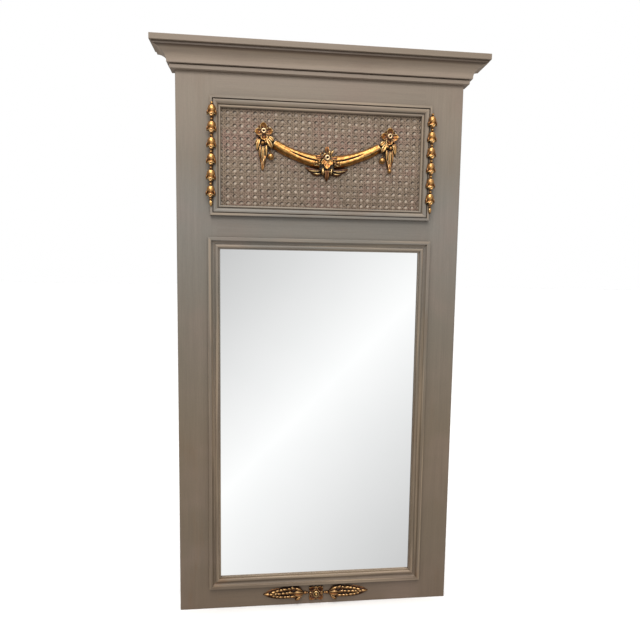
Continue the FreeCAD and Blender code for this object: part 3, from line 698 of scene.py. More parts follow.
# --------------------------------------------------------------------- forms
def mark(mesh: Mesh) -> None:
    """Tag every corner that the mesh has so far."""
    for vert in mesh.verts:
        vert.tag = True


def fresh(mesh: Mesh) -> Verts:
    """Corners that were added since the last mark."""
    return [vert for vert in mesh.verts if not vert.tag]


def hold(value: float) -> float:
    """Hold a value between 0 and 1."""
    return max(0.0, min(1.0, value))


def swell(value: float, width: float) -> float:
    """A smooth hump that is 1 where the value is 0 and falls off within the width."""
    return math.exp(-((value / width) ** 2))


class Form:
    """A shape carved in the plane that an ornament is seated on, in millimetres.

    The plane's x runs right and its y up, and z stands out of the seat.
    """

    def carve(self, mesh: Mesh) -> None:
        """Add the shape to a mesh."""
        raise NotImplementedError

    def globe(self, mesh: Mesh, around: int, along: int) -> list[tuple[bmesh.types.BMVert, float, float, float]]:
        """Start a blade from a unit globe.

        Args:
            mesh: The mesh to add it to.
            around: How many corners each of its rings has.
            along: How many rings divide it.

        Returns:
            Each corner, with its share of the blade's length and its place across and up on its ring.
        """
        corners = []
        for vert in bmesh.ops.create_uvsphere(mesh, u_segments=around, v_segments=along, radius=1.0)["verts"]:
            ring = math.sqrt(max(1e-9, 1 - vert.co.z**2))
            side, up = (vert.co.y / ring, vert.co.x / ring) if ring > 1e-3 else (0.0, 0.0)
            corners.append((vert, (1 + vert.co.z) / 2, side, up))
        return corners

    def lay(self, mesh: Mesh, verts: Verts, at: Pair, turn: float) -> None:
        """Turn a shape about the seat's normal and put it in its place.

        Args:
            mesh: The mesh that holds it.
            verts: Its corners.
            at: Where it springs from.
            turn: Degrees from the x axis.
        """
        place = Matrix.Translation((at[0], at[1], 0)) @ Matrix.Rotation(math.radians(turn), 4, "Z")
        bmesh.ops.transform(mesh, matrix=place, verts=verts)


@dataclass(frozen=True)
class Leaf(Form):
    """Pointed leaf with a vein along its middle and a tip that may curl out."""

    length: float
    width: float
    height: float
    at: Pair = (0.0, 0.0)
    turn: float = 0.0
    widest: float = 0.5
    point: float = 1.0
    vein: float = 0.0
    lift: float = 0.0
    curl: float = 0.0
    bow: float = 0.0
    along: int = 10

    def carve(self, mesh: Mesh) -> None:
        """Shape a globe into the leaf.

        Args:
            mesh: The mesh to add it to.
        """
        corners = self.globe(mesh, 12, self.along)
        power = math.log(0.5) / math.log(self.widest)
        for vert, t, side, up in corners:
            outline = max(0.0, math.sin(math.pi * min(1.0, t) ** power)) ** self.point
            crown = 1 - self.vein * swell(side, 0.3)
            stand = self.lift + self.curl * t * t
            top = stand + self.height * outline**0.45 * crown * max(up, 0.0)
            base = max(0.0, stand - 0.5 * self.height)
            vert.co = (t * self.length, side * self.width / 2 * outline + self.bow * (t - t * t) * 4,
                       top if up > 0.01 else base)
        self.lay(mesh, [corner[0] for corner in corners], self.at, self.turn)


@dataclass(frozen=True)
class Petal(Form):
    """Broad petal, deeply hollow, with a raised rim drawn to a point at its tip."""

    length: float
    width: float
    height: float
    turn: float = 0.0
    lift: float = 0.0
    hollow: float = 0.8

    def carve(self, mesh: Mesh) -> None:
        """Shape a globe into the petal.

        Args:
            mesh: The mesh to add it to.
        """
        corners = self.globe(mesh, 24, 14)
        for vert, t, side, up in corners:
            outline = max(0.0, math.sin(math.pi * t**1.25)) ** 0.62
            rim = max(abs(side) ** 2.2, t**6)
            crown = 1 - self.hollow * (1 - rim) * math.sin(math.pi * min(1.0, 0.1 + 0.9 * t))
            crown += 0.22 * swell(side, 0.16) * math.sin(math.pi * t)
            tip = 1 + 0.10 * t**3 * (swell(side, 0.3) - 0.6)
            top = self.lift + self.height * (0.5 + 0.5 * t) * crown * max(up, 0.0) ** 0.4 * outline**0.3
            base = max(0.0, self.lift - 0.3 * self.height)
            vert.co = (t * self.length * tip, side * self.width / 2 * outline, top if up > 0.01 else base)
        self.lay(mesh, [corner[0] for corner in corners], (0.0, 0.0), self.turn)


@dataclass(frozen=True)
class Bead(Form):
    """Round bead or berry, cut flat where it is seated."""

    radius: float
    at: Pair = (0.0, 0.0)
    lift: float = 0.4
    long: float = 1.0

    def carve(self, mesh: Mesh) -> None:
        """Shape a globe into the bead.

        Args:
            mesh: The mesh to add it to.
        """
        verts = bmesh.ops.create_uvsphere(mesh, u_segments=14, v_segments=10, radius=1.0)["verts"]
        for vert in verts:
            out = max(0.0, vert.co.z + self.lift)
            vert.co = (vert.co.x * self.radius * self.long, vert.co.y * self.radius, out * self.radius)
        self.lay(mesh, verts, self.at, 0.0)


@dataclass(frozen=True)
class Turned(Form):
    """Round form turned from a profile of (radius, height) about the seat's normal."""

    profile: tuple[Pair, ...]
    at: Pair = (0.0, 0.0)
    steps: int = 20

    def carve(self, mesh: Mesh) -> None:
        """Spin the profile all round."""
        self.lay(mesh, spin_profile(mesh, self.profile, self.steps), self.at, 0.0)


def spin_profile(mesh: Mesh, profile: tuple[Pair, ...], steps: int) -> Verts:
    """Turn a profile all round the z axis and close its poles.

    Args:
        mesh: The mesh to add it to.
        profile: (radius, height) of each corner.
        steps: How many steps the full turn takes.

    Returns:
        The new corners.
    """
    mark(mesh)
    line = [mesh.verts.new((radius, 0, height)) for radius, height in profile]
    edges = [mesh.edges.new(pair) for pair in zip(line, line[1:])]
    bmesh.ops.spin(mesh, geom=line + edges, cent=(0, 0, 0), axis=(0, 0, 1), angle=2 * math.pi,
                   steps=steps, use_merge=True)
    bmesh.ops.remove_doubles(mesh, verts=fresh(mesh), dist=1e-4)
    return fresh(mesh)


@dataclass(frozen=True)
class Eye(Form):
    """Ring bead at the heart of a flower, with a dark drilled hole."""

    radius: float
    hole: float
    base: float

    def carve(self, mesh: Mesh) -> None:
        """Turn the ring bead.

        Args:
            mesh: The mesh to add it to.
        """
        r, h, b = self.radius, self.hole, self.base
        middle = (r + h) / 2
        Turned(((0, b - 1.5), (h, b - 1.4), (h, b + 1.2), (0.6 * h + 0.4 * middle, b + 2.1), (middle, b + 2.5),
                (0.7 * r + 0.3 * middle, b + 2.0), (r, b + 0.6), (0.92 * r, b - 1.6), (0.92 * r, 0))).carve(mesh)


@dataclass(frozen=True)
class Garland(Form):
    """Half of the swag: a rounded roll on an arc, fuller at the middle and creased along its upper half."""

    side: int
    radius: float = 200.0
    offset: float = 8.0
    above: float = 189.0
    start: float = 6.0
    end: float = 34.6
    width: float = 19.6
    full: float = 3.2
    rise: float = 3.2
    height: float = 10.5
    crease_depth: float = 3.4
    crease_at: float = 197.4

    def carve(self, mesh: Mesh) -> None:
        """Spin the roll's section along the arc, then model its swell and its crease.

        Args:
            mesh: The mesh to add it to.
        """
        mark(mesh)
        half, facets = self.width / 2, 56
        turns = [math.pi * k / facets for k in range(facets + 1)]
        section = [mesh.verts.new((self.radius + half * math.cos(t), 0, self.height * math.sin(t))) for t in turns]
        face = mesh.faces.new(section)
        sweep = self.end - self.start
        bmesh.ops.spin(mesh, geom=[face], cent=(0, 0, 0), axis=(0, 0, 1), angle=math.radians(sweep), steps=44)
        verts = fresh(mesh)
        for vert in verts:
            reach = math.hypot(vert.co.x, vert.co.y)
            share = math.degrees(math.atan2(vert.co.y, vert.co.x)) / sweep
            fuller = 1 + self.full / half * swell(share, 0.38) - 0.08 * max(0.0, share - 0.8) / 0.2
            lifted = self.rise * (1 - 0.7 * hold((share - 0.5) / 0.5))
            out = self.radius + (reach - self.radius) * fuller - lifted
            line = self.crease_at - 2.4 * share
            fade = hold((0.66 - share) * 6)
            groove = self.crease_depth * fade * swell(out - line, 0.8)
            hips = 0.7 * swell(out - line + 4.2, 3.0) * fade
            hips += 1.9 * swell(out - line - 6.6, 4.0) * (0.35 + 0.65 * fade)
            high = vert.co.z + (hips - groove if vert.co.z > 2 else 0.0)
            vert.co = (out * vert.co.x / reach, out * vert.co.y / reach, high)
        self.lay(mesh, verts, (-self.offset, self.above), self.start - 90)
        if self.side < 0:
            bmesh.ops.scale(mesh, vec=(-1, 1, 1), verts=verts)


@dataclass(frozen=True)
class Bell(Form):
    """Bellflower of a husk chain, half round, its lip drawn into points."""

    top: float
    length: float = 21.0
    radius: float = 8.1
    lip: float = 8.8

    def carve(self, mesh: Mesh) -> None:
        """Turn the bell, point its lip and press it flat behind.

        Args:
            mesh: The mesh to add it to.
        """
        r, lip, high = self.radius, self.lip, self.length
        profile = ((0.0, 0.0), (0.40 * r, 0.02 * high), (0.70 * r, 0.09 * high), (0.90 * r, 0.22 * high),
                   (r, 0.40 * high), (0.99 * r, 0.56 * high), (0.90 * r, 0.68 * high), (0.84 * r, 0.76 * high),
                   (lip, 0.91 * high), (0.9 * lip, 0.96 * high), (0.56 * lip, 0.80 * high), (0.0, 0.66 * high))
        for vert in spin_profile(mesh, profile, 32):
            reach, down = math.hypot(vert.co.x, vert.co.y), vert.co.z
            fold = math.cos(2 * math.atan2(vert.co.y, vert.co.x))
            weight = hold((down / high - 0.55) / 0.3) * min(1.0, reach / (0.6 * lip))
            wave = max(0.0, fold) ** 3 - 0.55 * max(0.0, -fold)
            grow = 1 + 0.18 * weight * wave
            vert.co = (vert.co.x * grow, self.top - down - 0.8 * weight * wave, max(0.0, vert.co.y * grow))


class Carving:
    """Gathers the forms of one gilded piece and seats it."""

    def __init__(self, *groups: tuple[list[Form], Material]) -> None:
        """Carve every form into one mesh.

        Args:
            groups: Shapes in the plane of the seat, each group with its gold.
        """
        self.mesh = bmesh.new()
        self.golds = [gold for _, gold in groups]
        for index, (forms, _) in enumerate(groups):
            carved = set(self.mesh.faces)
            for form in forms:
                form.carve(self.mesh)
            for face in self.mesh.faces:
                if face not in carved:
                    face.material_index = index

    def seat(self, name: str, at: Vector, flip: bool = False) -> Piece:
        """Stand the carving on its seat and make it a smooth piece.

        Args:
            name: The piece's name.
            at: Where the plane's origin goes, in millimetres of the frame.
            flip: Whether to make its left-hand twin.

        Returns:
            The finished piece.
        """
        if flip:
            bmesh.ops.scale(self.mesh, vec=(-1, 1, 1), verts=self.mesh.verts)
        stand = Matrix(((1, 0, 0, at.x), (0, 0, -1, at.y), (0, 1, 0, at.z), (0, 0, 0, 1)))
        bmesh.ops.transform(self.mesh, matrix=Matrix.Scale(MM, 4) @ stand, verts=self.mesh.verts)
        return finish_mesh(self.mesh, name, *self.golds, soften=1)


def finish_mesh(mesh: Mesh, name: str, *materials: Material, soften: int = 0, smooth: bool = True) -> Piece:
    """Turn a bmesh into a piece with its faces outwards.

    Args:
        mesh: The shape, in metres and in its place. It is used up.
        name: The piece's name.
        materials: Its finishes.
        soften: Levels of subdivision to round it by.
        smooth: Whether its faces are shaded smoothly.

    Returns:
        The new object.
    """
    bmesh.ops.recalc_face_normals(mesh, faces=mesh.faces)
    for face in mesh.faces:
        face.smooth = smooth
    data = bpy.data.meshes.new(name)
    mesh.to_mesh(data)
    mesh.free()
    for material in materials:
        data.materials.append(material)
    piece = bpy.data.objects.new(name, data)
    bpy.context.scene.collection.objects.link(piece)
    if soften:
        rounding = piece.modifiers.new("rounding", "SUBSURF")
        rounding.levels = rounding.render_levels = soften
    return piece


# ---------------------------------------------------------------- assemblies
@dataclass
class SubAssembly:
    """A part of the mirror that dresses its nodes and adds its own pieces."""

    finishes: Finishes

    def dress(self, material: Material, *names: str) -> None:
        """Give nodes of the frame their finish.

        Args:
            material: The finish.
            names: The nodes.
        """
        for name in names:
            node = frame["nodes"][name]
            if not node.material_slots:
                node.data.materials.append(material)
            for slot in node.material_slots:
                slot.material = material
        LOG.info("dressed %s in %s", ", ".join(names), material.name)

    def stand_for(self, piece: Piece, slot: str, *nodes: str, body: str = "mirror") -> None:
        """Let a new piece ride on its body in the place of nodes.

        Args:
            piece: The new piece.
            slot: Not used.
            nodes: The nodes that it stands for.
            body: The body that carries it.
        """
        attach(piece, body)
        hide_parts(*nodes)
        LOG.info("%s stands for %s", piece.name, ", ".join(nodes))


@dataclass
class Casework(SubAssembly):
    """Painted boards, mouldings and cornice, kept as the frame has them."""

    def build(self) -> None:
        """Dress every painted board and moulding along its own grain."""
        f = self.finishes
        self.dress(f.upright, "left_stile", "right_stile")
        self.dress(f.across, "bottom_rail", "middle_rail", "top_rail", "cap_board")
        for part in ("crown", "neck_band"):
            self.dress(f.crown_across, f"{part}_front")
            self.dress(f.inward, f"{part}_left_return", f"{part}_right_return")
        for opening in ("mirror", "panel"):
            self.dress(f.moulded_across, f"{opening}_moulding_top", f"{opening}_moulding_bottom")
            self.dress(f.moulded_upright, f"{opening}_moulding_left", f"{opening}_moulding_right")


@dataclass
class Glazing(SubAssembly):
    """The mirror plate and all that holds the plates from behind."""

    def build(self) -> None:
        """Dress the plates, their boards, strips and brads."""
        f = self.finishes
        self.dress(f.glass, "mirror_glass")
        self.dress(f.hardboard, "mirror_back_board")
        self.dress(f.backing, "panel_board")
        for opening in ("mirror", "panel"):
            self.dress(f.strip_across, f"{opening}_strip_top", f"{opening}_strip_bottom")
            self.dress(f.strip_upright, f"{opening}_strip_left", f"{opening}_strip_right")
            self.dress(f.steel, f"{opening}_strip_brads")


@dataclass
class WovenCane(SubAssembly):
    """Six-way cane webbing: pairs of upright and cross strands, and diagonals between the holes."""

    across: float = 13.2
    up: float = 12.2
    pair: float = 1.7
    strand: float = 2.1
    diagonal: float = 2.2
    thick: float = 0.38
    front_share: float = 0.55
    upright_sway: Pair = (-0.50, 0.22)
    crossing_sway: Pair = (-0.42, -0.16)
    leaning_sway: Pair = (-1.00, 0.20)
    steps: int = 4
    hem: float = 0.2

    def build(self) -> None:
        """Weave the sheet in the place of its plain node."""
        low, high = (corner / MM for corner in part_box("cane_panel"))
        middle = Vector(((low.x + high.x) / 2, high.y, (low.z + high.z) / 2))
        columns = math.ceil((high.x - low.x) / self.across / 2) + 1
        rows = math.ceil((high.z - low.z) / self.up / 2) + 1
        both, reach = (-self.pair, self.pair), columns + rows
        upright = [middle + Vector(((k + 0.5) * self.across + side, 0, 0))
                   for k in range(-columns, columns) for side in both]
        crossing = [middle + Vector((0, 0, (k + 0.5) * self.up + side)) for k in range(-rows, rows) for side in both]
        leaning = [middle + Vector(((k + 0.5) * self.across, 0, 0)) for k in range(-reach, reach)]
        mesh = bmesh.new()
        self.weave(mesh, math.radians(90), self.up, 2 * rows, self.strand, self.upright_sway, upright)
        self.weave(mesh, 0.0, self.across, 2 * columns, self.strand, self.crossing_sway, crossing)
        step, slope = math.hypot(self.across, self.up), math.atan2(self.up, self.across)
        y, sway = self.leaning_sway
        for lean in (-1, 1):
            self.weave(mesh, lean * slope, step, 2 * rows, self.diagonal, (y, lean * sway), leaning)
        self.trim(mesh, low, high)
        bmesh.ops.scale(mesh, vec=(MM, MM, MM), verts=mesh.verts)
        piece = finish_mesh(mesh, "woven_cane", self.finishes.cane, smooth=False)
        self.stand_for(piece, "cane", "cane_panel")

    def weave(self, mesh: Mesh, angle: float, pitch: float, count: int, width: float, sway: Pair,
              places: list[Vector]) -> None:
        """Weave all the strands that run one way, each flat behind and narrower in front.

        Args:
            mesh: The mesh to add them to.
            angle: Their lean from the x axis, in radians.
            pitch: How far apart they cross others.
            count: How many pitches they are long.
            width: Width of a strand behind.
            sway: Where a strand lies in y, and how far it sways there.
            places: The middle of each strand.
        """
        mark(mesh)
        bmesh.ops.create_cube(mesh, size=1.0)
        long = [edge for edge in mesh.edges
                if not edge.verts[0].tag and abs(edge.verts[0].co.x - edge.verts[1].co.x) > 0.5]
        bmesh.ops.subdivide_edges(mesh, edges=long, cuts=count * self.steps - 1, use_grid_fill=False)
        verts = fresh(mesh)
        for vert in verts:
            x, z = vert.co.x * count * pitch, vert.co.z * width * (self.front_share if vert.co.y < 0 else 1.0)
            y = vert.co.y * self.thick + sway[0] + sway[1] * math.cos(2 * math.pi * x / pitch)
            vert.co = (x * math.cos(angle) - z * math.sin(angle), y, x * math.sin(angle) + z * math.cos(angle))
        faces = [face for face in mesh.faces if not face.verts[0].tag]
        for place in places[1:]:
            copy = bmesh.ops.duplicate(mesh, geom=faces)["geom"]
            bmesh.ops.translate(mesh, verts=[item for item in copy if isinstance(item, bmesh.types.BMVert)],
                                vec=place)
        bmesh.ops.translate(mesh, verts=verts, vec=places[0])

    def trim(self, mesh: Mesh, low: Vector, high: Vector) -> None:
        """Cut the strands off inside the sheet's edges and close their ends.

        Args:
            mesh: The strands.
            low: Lowest corner of the sheet, in millimetres.
            high: Highest corner of it.
        """
        for corner, out in ((low, (-1, 0, 0)), (high, (1, 0, 0)), (low, (0, 0, -1)), (high, (0, 0, 1))):
            bmesh.ops.bisect_plane(mesh, geom=mesh.verts[:] + mesh.edges[:] + mesh.faces[:], dist=1e-5,
                                   plane_co=corner - self.hem * Vector(out), plane_no=out, clear_outer=True)
            bmesh.ops.holes_fill(mesh, edges=[edge for edge in mesh.edges if edge.is_boundary], sides=0)


@dataclass
class Swag(SubAssembly):
    """Gilded swag: two arms, an open flower in the middle, and a flower with leaves at each end."""

    across: float = 9.0
    above: float = 4.0
    seat_y: float = -21.0
    end_x: float = 124.2
    end_z: float = 46.2

    def build(self) -> None:
        """Carve the seven castings and seat them on the cane."""
        low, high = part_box("cane_panel")
        seat = Vector((self.across, self.seat_y, (low.z + high.z) / 2 / MM + self.above))
        f = self.finishes
        # painted shade and highlight: the lower forms take the shaded gold or the low shade gold, the ring beads the
        # highlight gold
        self.place("centre_flower", seat, False, (self.centre(), f.warm_gold), (self.under_centre(), f.shaded_gold),
                   ([Eye(5.9, 1.6, 11.2)], f.highlight_gold))
        for name, side in (("left", -1), ("right", 1)):
            at = seat + Vector((side * self.end_x, 0, self.end_z))
            self.place(f"{name}_flower", at, False, (self.flower(side), f.warm_gold),
                       (self.under_flower(side), f.shaded_gold), ([Eye(5.3, 1.5, 10.6)], f.highlight_gold))
            self.place(f"{name}_drop", at, side < 0, (self.drop(side), f.warm_gold),
                       (self.under_drop(side), f.low_shade_gold))
            self.place(f"{name}_arm", seat, False, ([Garland(side)], f.gold))

    def place(self, name: str, at: Vector, flip: bool, *groups: tuple[list[Form], Material]) -> None:
        """Carve one casting and let it stand for its node.

        Args:
            name: The casting's name without its prefix.
            at: Its seat.
            flip: Whether it is the left-hand twin.
            groups: Its shapes, each group with its gold.
        """
        self.stand_for(Carving(*groups).seat(f"gilded_{name}", at, flip), "gilding", f"swag_{name}")

    def flower(self, side: int) -> list[Form]:
        """Four cupped petals round a ring bead.

        Args:
            side: -1 for the left flower and 1 for the right.

        Returns:
            The flower's shapes.
        """
        return [Petal(length, 14.4, 6.8, 90 * k - 4 * side, 4.8, 0.95)
                for k, length in enumerate((18.6, 18.0, 18.2, 18.0))]

    def under_flower(self, side: int) -> list[Form]:
        """Smaller petals between the four, and the dish round the bead.

        Args:
            side: -1 for the left flower and 1 for the right.

        Returns:
            The lower shapes.
        """
        small = [Petal(length, 10.4, 6.0, 90 * k + 42 * side, 4.4, 0.9)
                 for k, length in enumerate((14.4, 14.0, 15.0, 14.6))]
        return [*small, Turned(((0, 7.0), (6.4, 6.6), (7.4, 5.0), (7.4, 0), (0, 0)))]

    def drop(self, side: int) -> list[Form]:
        """Lobed leaves that hang from the right flower, with a berry on the inner side.

        Args:
            side: -1 for the left drop and 1 for the right, which ends in a bead.

        Returns:
            The drop's shapes.
        """
        end = Bead(4.5, (2.2, -66.0), 0.6)
        if side < 0:
            end = Leaf(18, 4.4, 6.4, (-0.4, -48), -86, widest=0.45, vein=0.2, lift=1.6)
        return [
            Turned(((0, 4.4), (9, 4.2), (10.6, 3.4), (11, 2), (11, 0), (0, 0))),
            Leaf(44, 8.0, 6.2, (1.2, -19), -89, vein=0.6, lift=0.6),
            Leaf(30, 6.0, 7.4, (-4.4, -19), -90, vein=0.25, lift=1.4, bow=-0.8),
            Leaf(27, 9.2, 6.4, (6.4, -10), -76, vein=0.5, lift=1.0, bow=1.6),
            Leaf(24, 11.6, 7.6, (-4.6, -11), -120, widest=0.58, vein=0.6, point=0.7, lift=5.4),
            Leaf(15, 9.6, 7.0, (-8.6, -8.6), -138, widest=0.58, vein=0.55, point=0.65, lift=6.0),
            Bead(3.6, (2.4, -22.2), 2.0),
            Bead(3.4, (-4.2, -20.2), 2.2),
            Bead(6.7, (-13.5, -46.8), 0.5),
            end,
        ]

    def under_drop(self, side: int) -> list[Form]:
        """Lower leaves of a drop.

        Args:
            side: -1 for the left drop and 1 for the right.

        Returns:
            The leaves.
        """
        tip = 0.0 if side > 0 else -3.0
        return [
            Leaf(60, 16.0, 3.0, (0.4, -9), -88.5, widest=0.48, point=0.6),
            Leaf(31, 5.8, 5.4, (5.0, -20), -84, vein=0.45, lift=0.6, bow=0.8),
            Leaf(22, 8.4, 6.0, (1.6, -48.5 + tip), -88, widest=0.55, vein=0.35, lift=0.6, point=0.6),
            Leaf(16, 5.0, 5.4, (-2.8, -42), -86, vein=0.3, lift=0.8),
            Leaf(18, 5.2, 4.4, (9.6, -8), -66, vein=0.3, lift=0.4),
            Leaf(20, 3.4, 3.2, (-9, -27), -108),
        ]

    def centre(self) -> list[Form]:
        """Open flower over a cross of leaves, with leaves sweeping out below both arms.

        Returns:
            The flower's shapes.
        """
        forms: list[Form] = [
            Turned(((0, 6.4), (5.6, 6.2), (8.2, 7.2), (9.8, 8.6), (11.0, 7.6), (11.8, 4.0), (11.8, 0), (0, 0)),
                   steps=28),
            Petal(23.0, 13.4, 5.8, 270, 7.6, 0.7),
            Petal(17.4, 10.8, 5.6, 230, 8.4),
            Petal(17.4, 10.8, 5.6, 307, 8.4),
            Leaf(16.0, 5.4, 6.0, (1.6, 0), 77, widest=0.66, lift=7.2, vein=0.2),
            Leaf(19.0, 5.4, 6.4, (2.4, 0), 57, widest=0.70, lift=6.4, vein=0.2, point=0.7),
            Bead(2.6, (-13.4, 6.4), 3.4),
            Leaf(14.5, 8.2, 7.6, (-8.6, -18.6), -87, widest=0.58, vein=0.1, lift=6.6, point=0.7),
            Leaf(15.0, 5.6, 7.4, (8.8, -18.6), -95, widest=0.55, vein=0.1, lift=6.2, point=0.8),
            Leaf(10.0, 3.6, 6.4, (3.6, -22.6), -66, lift=5.0),
            Bead(2.2, (14.4, -8.6), 5.6),
            Bead(2.6, (25.6, -13.0), 4.2),
            Bead(2.2, (-16.0, -7.8), 5.6),
        ]
        for side, turn in ((-1, 180), (1, 0)):
            forms += [
                Bead(3.6, (side * 21.4, -10.4), 3.4, 1.15),
                Leaf(14.5, 3.4, 5.4, (side * 13.4, -14.6), turn - side * 3, lift=7.4),
                Leaf(29, 3.2, 5.4, (side * 10.0, -23.6), turn + side * 3, widest=0.45, bow=-side * 3.2, lift=3.4,
                     point=0.7),
                Leaf(17.5, 3.9, 5.2, (side * 10.5, -29.4), turn + side * 3, bow=-side * 1.8, lift=3.0, point=0.7),
            ]
        return forms

    def under_centre(self) -> list[Form]:
        """Lower leaves of the middle flower: the bud, the top leaf and the hollows of the side leaves.

        Returns:
            The leaves, with one bead.
        """
        forms: list[Form] = [
            Leaf(44, 12.4, 3.4, (0, 0), -90, widest=0.74, point=0.8),
            Leaf(23, 13.4, 6.0, (0, -21.6), -90, widest=0.34, vein=0.55, lift=5.0, curl=-5.0, point=0.8),
            Leaf(23.5, 11.0, 6.4, (0, 0), 91.5, widest=0.72, point=0.7, vein=0.7, lift=5.4),
            Bead(2.4, (-9.6, 9.6), 3.6),
            Leaf(23.5, 9.8, 7.0, (0, 0.8), 180, widest=0.76, point=0.5, vein=0.5, lift=7.4),
            Leaf(21.5, 10.0, 6.6, (0, -0.4), -2, widest=0.72, point=0.5, vein=0.6, lift=7.0),
        ]
        for side, turn in ((-1, 180), (1, 0)):
            forms += [
                Leaf(37, 15.0, 3.0, (side * 7, -25.6), turn + side * 12, widest=0.45, bow=-side * 2.2, point=0.85),
                Leaf(24, 7.0, 2.4, (side * 8, -30.4), turn + side * 5, bow=-side * 1.8),
            ]
        return forms


@dataclass
class HuskChain(SubAssembly):
    """Row of six bellflowers with a seed and a bead under each."""

    pitch: float = 30.2
    count: int = 6

    def build(self) -> None:
        """Carve both chains and seat them on the panel moulding's outer band."""
        f = self.finishes
        for name, askew, shift in (("left", -1.0, (0.6, 0, 0)), ("right", 0.0, (1.8, -2.2, 0))):
            low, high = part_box(f"{name}_husk_chain")
            seat = Vector(((low.x + high.x) / 2, high.y, (low.z + high.z) / 2)) / MM
            carving = Carving((self.forms(0.3 if name == "left" else -0.3), f.warm_gold), (self.tips(), f.shaded_gold))
            lean = Matrix.Translation(shift) @ Matrix.Rotation(math.radians(askew), 4, "Z")
            bmesh.ops.transform(carving.mesh, matrix=lean, verts=carving.mesh.verts)
            self.stand_for(carving.seat(f"gilded_{name}_husks", seat), "gilding", f"{name}_husk_chain")

    def forms(self, nudge: float) -> list[Form]:
        """Shapes of one chain.

        Args:
            nudge: How much its bells differ in radius; the two chains were cut by hand.

        Returns:
            Its bells, seeds, beads and end tip.
        """
        top = self.count * self.pitch / 2
        seed = ((0, 0), (4.6, 0), (4.6, 4.6), (4.2, 7.0), (3.2, 8.6), (2.2, 9.0), (1.2, 8.2), (0, 7.8))
        forms: list[Form] = [Bead(2.9, (0, top + 2.4), 0.9),
                             Leaf(2 * top - 6, 5.0, 3.6, (0, top - 3), -90, widest=0.4, point=0.2)]
        for k in range(self.count):
            base = top - k * self.pitch
            forms += [Bell(base + 0.8, radius=8.1 + nudge * math.sin(2.1 * k)), Turned(seed, (0, base - 19.4), 18)]
            if k < self.count - 1:
                forms.append(Bead(3.0, (0, base - 27.6), 1.1))
        return [*forms, Bead(3.2, (0, -top + 5.0), 0.9),
                Leaf(14.0, 7.2, 5.4, (0.4, -top + 3.6), -88, widest=0.45, vein=0.3, lift=0.6)]

    def tips(self) -> list[Form]:
        """Pointed tips on both sides of every bell's mouth, darkened by the shaded gold: painted shade.

        Returns:
            The tips.
        """
        top = self.count * self.pitch / 2 - 7.0
        return [Leaf(13.0, 4.6, 4.6, (side * 6.2, top - k * self.pitch), -90 + side * 12, widest=0.55, lift=0.6)
                for k in range(self.count) for side in (-1, 1)]


